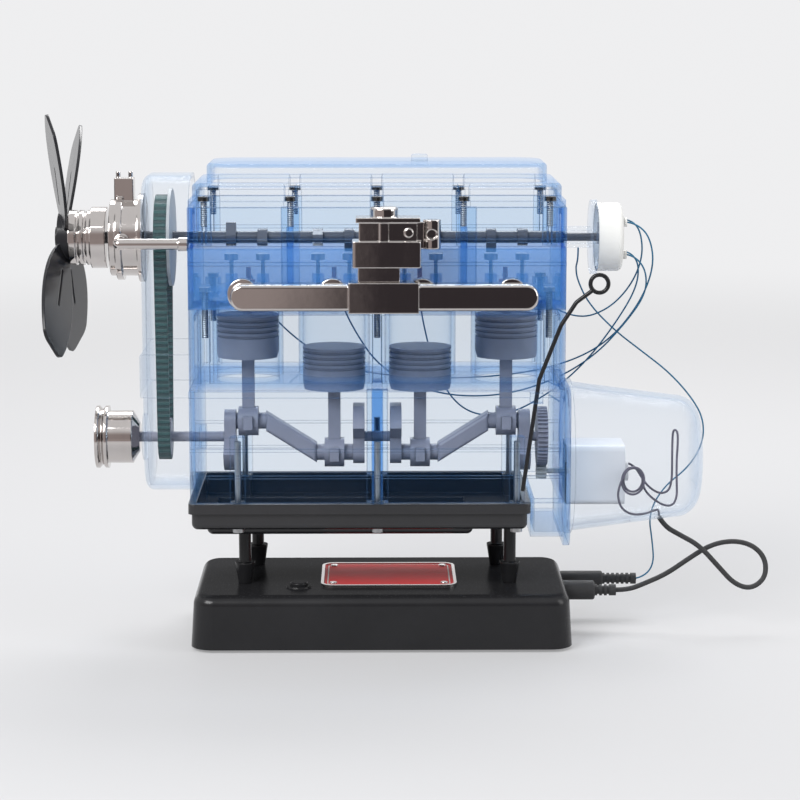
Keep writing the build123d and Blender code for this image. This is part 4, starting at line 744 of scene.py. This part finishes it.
class ENGINE_OT_base(bpy.types.Operator):
    """Finishes the base, its feet, posts, button and badge, the oil pan and the dipstick"""
    bl_idname = "engine_model.base"
    bl_label = "Base and pan"

    def execute(self, context):
        black = settings().plastic.black
        base = gloss_black("base moulding", black, matt_top=0.85)
        paint(base, "base_shell", "base_plate", "start_button", "support_posts")
        paint(gloss_black("pan moulding", shaded(black, 1.3), haze=0.1, shine=0.5), "oil_pan")
        paint(gloss_black("dipstick moulding", black, haze=0.2, dust=0.0), "dipstick")
        paint(matt_rubber("feet rubber", (0.02, 0.02, 0.02)), "rubber_feet")
        paint(badge_finish(settings().plastic.badge), "badge_plate")
        return {"FINISHED"}


class ENGINE_OT_bright_trim(bpy.types.Operator):
    """Plates the manifold, carburettor, pulley, pump, pipe and hub, and finishes the screws and valves"""
    bl_idname = "engine_model.bright_trim"
    bl_label = "Bright trim"

    def execute(self, context):
        metal = settings().metal
        plated = chrome("plated trim", metal.chrome)
        paint(plated, "intake_manifold", "carburettor", "crank_pulley", "water_pump", "water_pipe", "fan_hub")
        steel = turned_steel("bright screws", metal.steel)
        paint(steel, "pan_screws", *nodes_called("inlet_valve", "outlet_valve"))
        head_height = 2.0 * MM
        middle_x = -2.0 * MM
        bolts = cross_screw(
            "head bolts", colour=metal.steel, thread_colour=metal.steel,
            seat_z=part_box("head_bolts")[1].z - head_height,
            pitch_x=81.4 * MM, start_x=middle_x, away_y=32.0 * MM
        )
        paint(bolts, "head_bolts")
        screws = cross_screw(
            "dark screws", colour=shaded(metal.steel, 0.16), thread_colour=metal.steel,
            seat_z=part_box("cover_screws")[1].z - head_height,
            pitch_x=40.6 * MM, start_x=middle_x, away_y=35.0 * MM
        )
        paint(screws, "cover_screws")
        return {"FINISHED"}


class ENGINE_OT_running_gear(bpy.types.Operator):
    """Finishes the crankshaft, rods, pistons, camshaft, rotor, wheels, belt and fan"""
    bl_idname = "engine_model.running_gear"
    bl_label = "Running gear"

    def execute(self, context):
        plastic = settings().plastic
        crank = satin_plastic("crank plastic", plastic.crank)
        paint(crank, "crankshaft", "crank_sprocket", "flywheel", *nodes_called("con_rod", "web_plugs"))
        paint(satin_plastic("piston plastic", plastic.piston), *nodes_called("piston"))
        dark = satin_plastic("dark plastic", (0.075, 0.078, 0.095), lowest=0.25)
        paint(dark, "camshaft", "distributor_rotor")
        paint(gloss_black("fan moulding", (0.012, 0.012, 0.014), haze=0.08, dust=0.0), "fan_blades")
        paint(satin_plastic("pale plastic", (0.42, 0.44, 0.45), lowest=0.4), "cam_sprocket")
        paint(toothed_rubber("belt rubber", plastic.belt, pitch=3.0 * MM), "timing_belt")
        paint(satin_plastic("white nylon", (0.72, 0.72, 0.70), shade=0.9), "motor_pinion")
        return {"FINISHED"}


class ENGINE_OT_electrics(bpy.types.Operator):
    """Finishes the distributor cap, spark plugs, drive motor and jack plugs"""
    bl_idname = "engine_model.electrics"
    bl_label = "Electrics"

    def execute(self, context):
        paint(satin_plastic("cap plastic", (0.74, 0.74, 0.72), lowest=0.38, shade=0.92), "distributor_cap")
        paint(satin_plastic("motor shell", (0.66, 0.67, 0.70), lowest=0.35, shade=0.88), "drive_motor")
        paint(satin_plastic("lamp glass", (0.34, 0.10, 0.10), lowest=0.12), "spark_plugs")
        paint(matt_rubber("plug sheath", lead_black), "plug_front", "plug_rear")
        return {"FINISHED"}


# Studio

def studio_light(name, place, aim, size, power):
    """A soft rectangular light that shines at a point."""
    data = bpy.data.lights.new(name, "AREA")
    data.shape = "RECTANGLE"
    data.size, data.size_y = size
    data.energy = power
    lamp = bpy.data.objects.new(name, data)
    lamp.location = place
    lamp.rotation_euler = (Vector(aim) - Vector(place)).to_track_quat("-Z", "Y").to_euler()
    bpy.context.scene.collection.objects.link(lamp)


def ray_shares(kit):
    """One for rays from the camera or through glass, and one for rays from mirrors."""
    outputs = kit.add("ShaderNodeLightPath").socket.node.outputs
    kinds = ("Camera", "Transmission", "Glossy")
    camera, glass, mirror = [Socket(kit, outputs[f"Is {kind} Ray"]) for kind in kinds]
    return camera.most(glass), mirror


def dim_room(kit, chosen, x):
    """Colour of the room that the plating mirrors, paler on the left."""
    return kit.blend(x.above(-0.06, softness=0.07), chosen.haze_colour, chosen.room_colour)


def lay_floor(chosen):
    """Pale paper under the object. Far out it shows as the backdrop, and in front the plating sees the room."""
    near_glow = 0.35
    shape = bmesh.new()
    bmesh.ops.create_grid(shape, x_segments=1, y_segments=1, size=chosen.floor_size / 2)
    mesh = bpy.data.meshes.new("floor")
    shape.to_mesh(mesh)
    shape.free()
    floor = bpy.data.objects.new("floor", mesh)
    bpy.context.scene.collection.objects.link(floor)
    material, kit = new_material("floor paper")
    direct, mirror = ray_shares(kit)
    x, y, _ = kit.parts(kit.place())
    far = how_far(x, y).above(1.1, softness=0.7)
    front = (-y).above(0.42, softness=0.22) * mirror
    matt = kit.add("ShaderNodeBsdfDiffuse", values={"Color": kit.colour(chosen.floor_colour)})
    shown = kit.blend(front, chosen.sky_colour, dim_room(kit, chosen, x))
    glow = kit.add("ShaderNodeEmission", values={"Color": shown, "Strength": 1.0})
    seen = direct.most(mirror) * (near_glow + far * (1.0 - near_glow))
    kit.finish(kit.mix(seen.most(front), matt, glow))
    mesh.materials.append(material)


def hang_backdrop(chosen):
    """Light from all round. The camera sees a backdrop there, and the plating a dim room in front."""
    world = bpy.data.worlds.new("studio")
    world.use_nodes = True
    bpy.context.scene.world = world
    kit = NodeKit(world.node_tree)
    direct, mirror = ray_shares(kit)
    x, y, z = kit.parts(kit.add("ShaderNodeTexCoord", output="Generated"))
    low = 1.0 - z.above(0.45, softness=0.2)
    front = (-y).above(0.25, softness=0.25) * low * mirror
    shown = kit.blend(front, chosen.sky_colour, dim_room(kit, chosen, x))
    lit = kit.add("ShaderNodeBackground", values={"Color": (1, 1, 1, 1), "Strength": chosen.fill})
    seen = kit.add("ShaderNodeBackground", values={"Color": shown, "Strength": 1.0})
    kit.finish(kit.mix(direct.most(mirror), lit, seen), "ShaderNodeOutputWorld")


class ENGINE_OT_stage(bpy.types.Operator):
    """Lays the pale floor and sets the backdrop and the soft lights"""
    bl_idname = "engine_model.stage"
    bl_label = "Studio"

    def execute(self, context):
        chosen = settings().studio
        lay_floor(chosen)
        hang_backdrop(chosen)
        aim = (0.02, 0.0, 0.13)
        studio_light("key light", (-0.7, -0.9, 0.95), aim, size=(0.8, 0.6), power=chosen.key_power)
        studio_light("rim light", (0.2, 0.8, 1.1), aim, size=(1.2, 0.5), power=chosen.rim_power)
        studio_light("side light", (1.1, -0.4, 0.5), aim, size=(0.5, 0.8), power=chosen.side_power)
        context.scene.view_settings.view_transform = "Standard"
        # A line of sight crosses dozens of clear walls
        context.scene.cycles.transparent_max_bounces = 64
        return {"FINISHED"}


class EngineModelSettings(bpy.types.PropertyGroup):
    """All the settings, group by group"""
    camera: bpy.props.PointerProperty(type=CameraSettings, name="Camera", description="The photograph's camera")
    studio: bpy.props.PointerProperty(type=StudioSettings, name="Studio", description="Floor, backdrop and lights")
    plastic: bpy.props.PointerProperty(type=PlasticSettings, name="Plastics", description="Plastic colours")
    metal: bpy.props.PointerProperty(type=MetalSettings, name="Metals", description="Metal colours")
    lead: bpy.props.PointerProperty(type=LeadSettings, name="Leads", description="The motor lead and thin wires")


operators = [
    ENGINE_OT_camera,
    ENGINE_OT_motor_lead,
    ENGINE_OT_tied_coil,
    ENGINE_OT_thin_wires,
    ENGINE_OT_clear_castings,
    ENGINE_OT_base,
    ENGINE_OT_bright_trim,
    ENGINE_OT_running_gear,
    ENGINE_OT_electrics,
    ENGINE_OT_stage,
]


class ENGINE_PT_panel(bpy.types.Panel):
    """Lists the settings and the steps of the build"""
    bl_idname = "ENGINE_PT_panel"
    bl_label = "Engine model"
    bl_space_type = "VIEW_3D"
    bl_region_type = "UI"
    bl_category = "Engine model"

    def draw(self, context):
        chosen = settings()
        for group in (chosen.camera, chosen.lead, chosen.plastic, chosen.metal, chosen.studio):
            box = self.layout.box()
            for name in group.bl_rna.properties.keys():
                if name not in ("rna_type", "name"):
                    box.prop(group, name)
        for operator in operators:
            self.layout.operator(operator.bl_idname)


classes = [
    CameraSettings, StudioSettings, PlasticSettings, MetalSettings, LeadSettings, EngineModelSettings,
    *operators, ENGINE_PT_panel,
]


def register():
    for each in classes:
        bpy.utils.register_class(each)
    bpy.types.Scene.engine_model = bpy.props.PointerProperty(
        type=EngineModelSettings, name="Engine model", description="Settings of the engine model"
    )


def unregister():
    del bpy.types.Scene.engine_model
    for each in reversed(classes):
        bpy.utils.unregister_class(each)


def main():
    register()
    for operator in operators:
        group, name = operator.bl_idname.split(".")
        getattr(getattr(bpy.ops, group), name)()


if __name__ == "__main__":
    main()
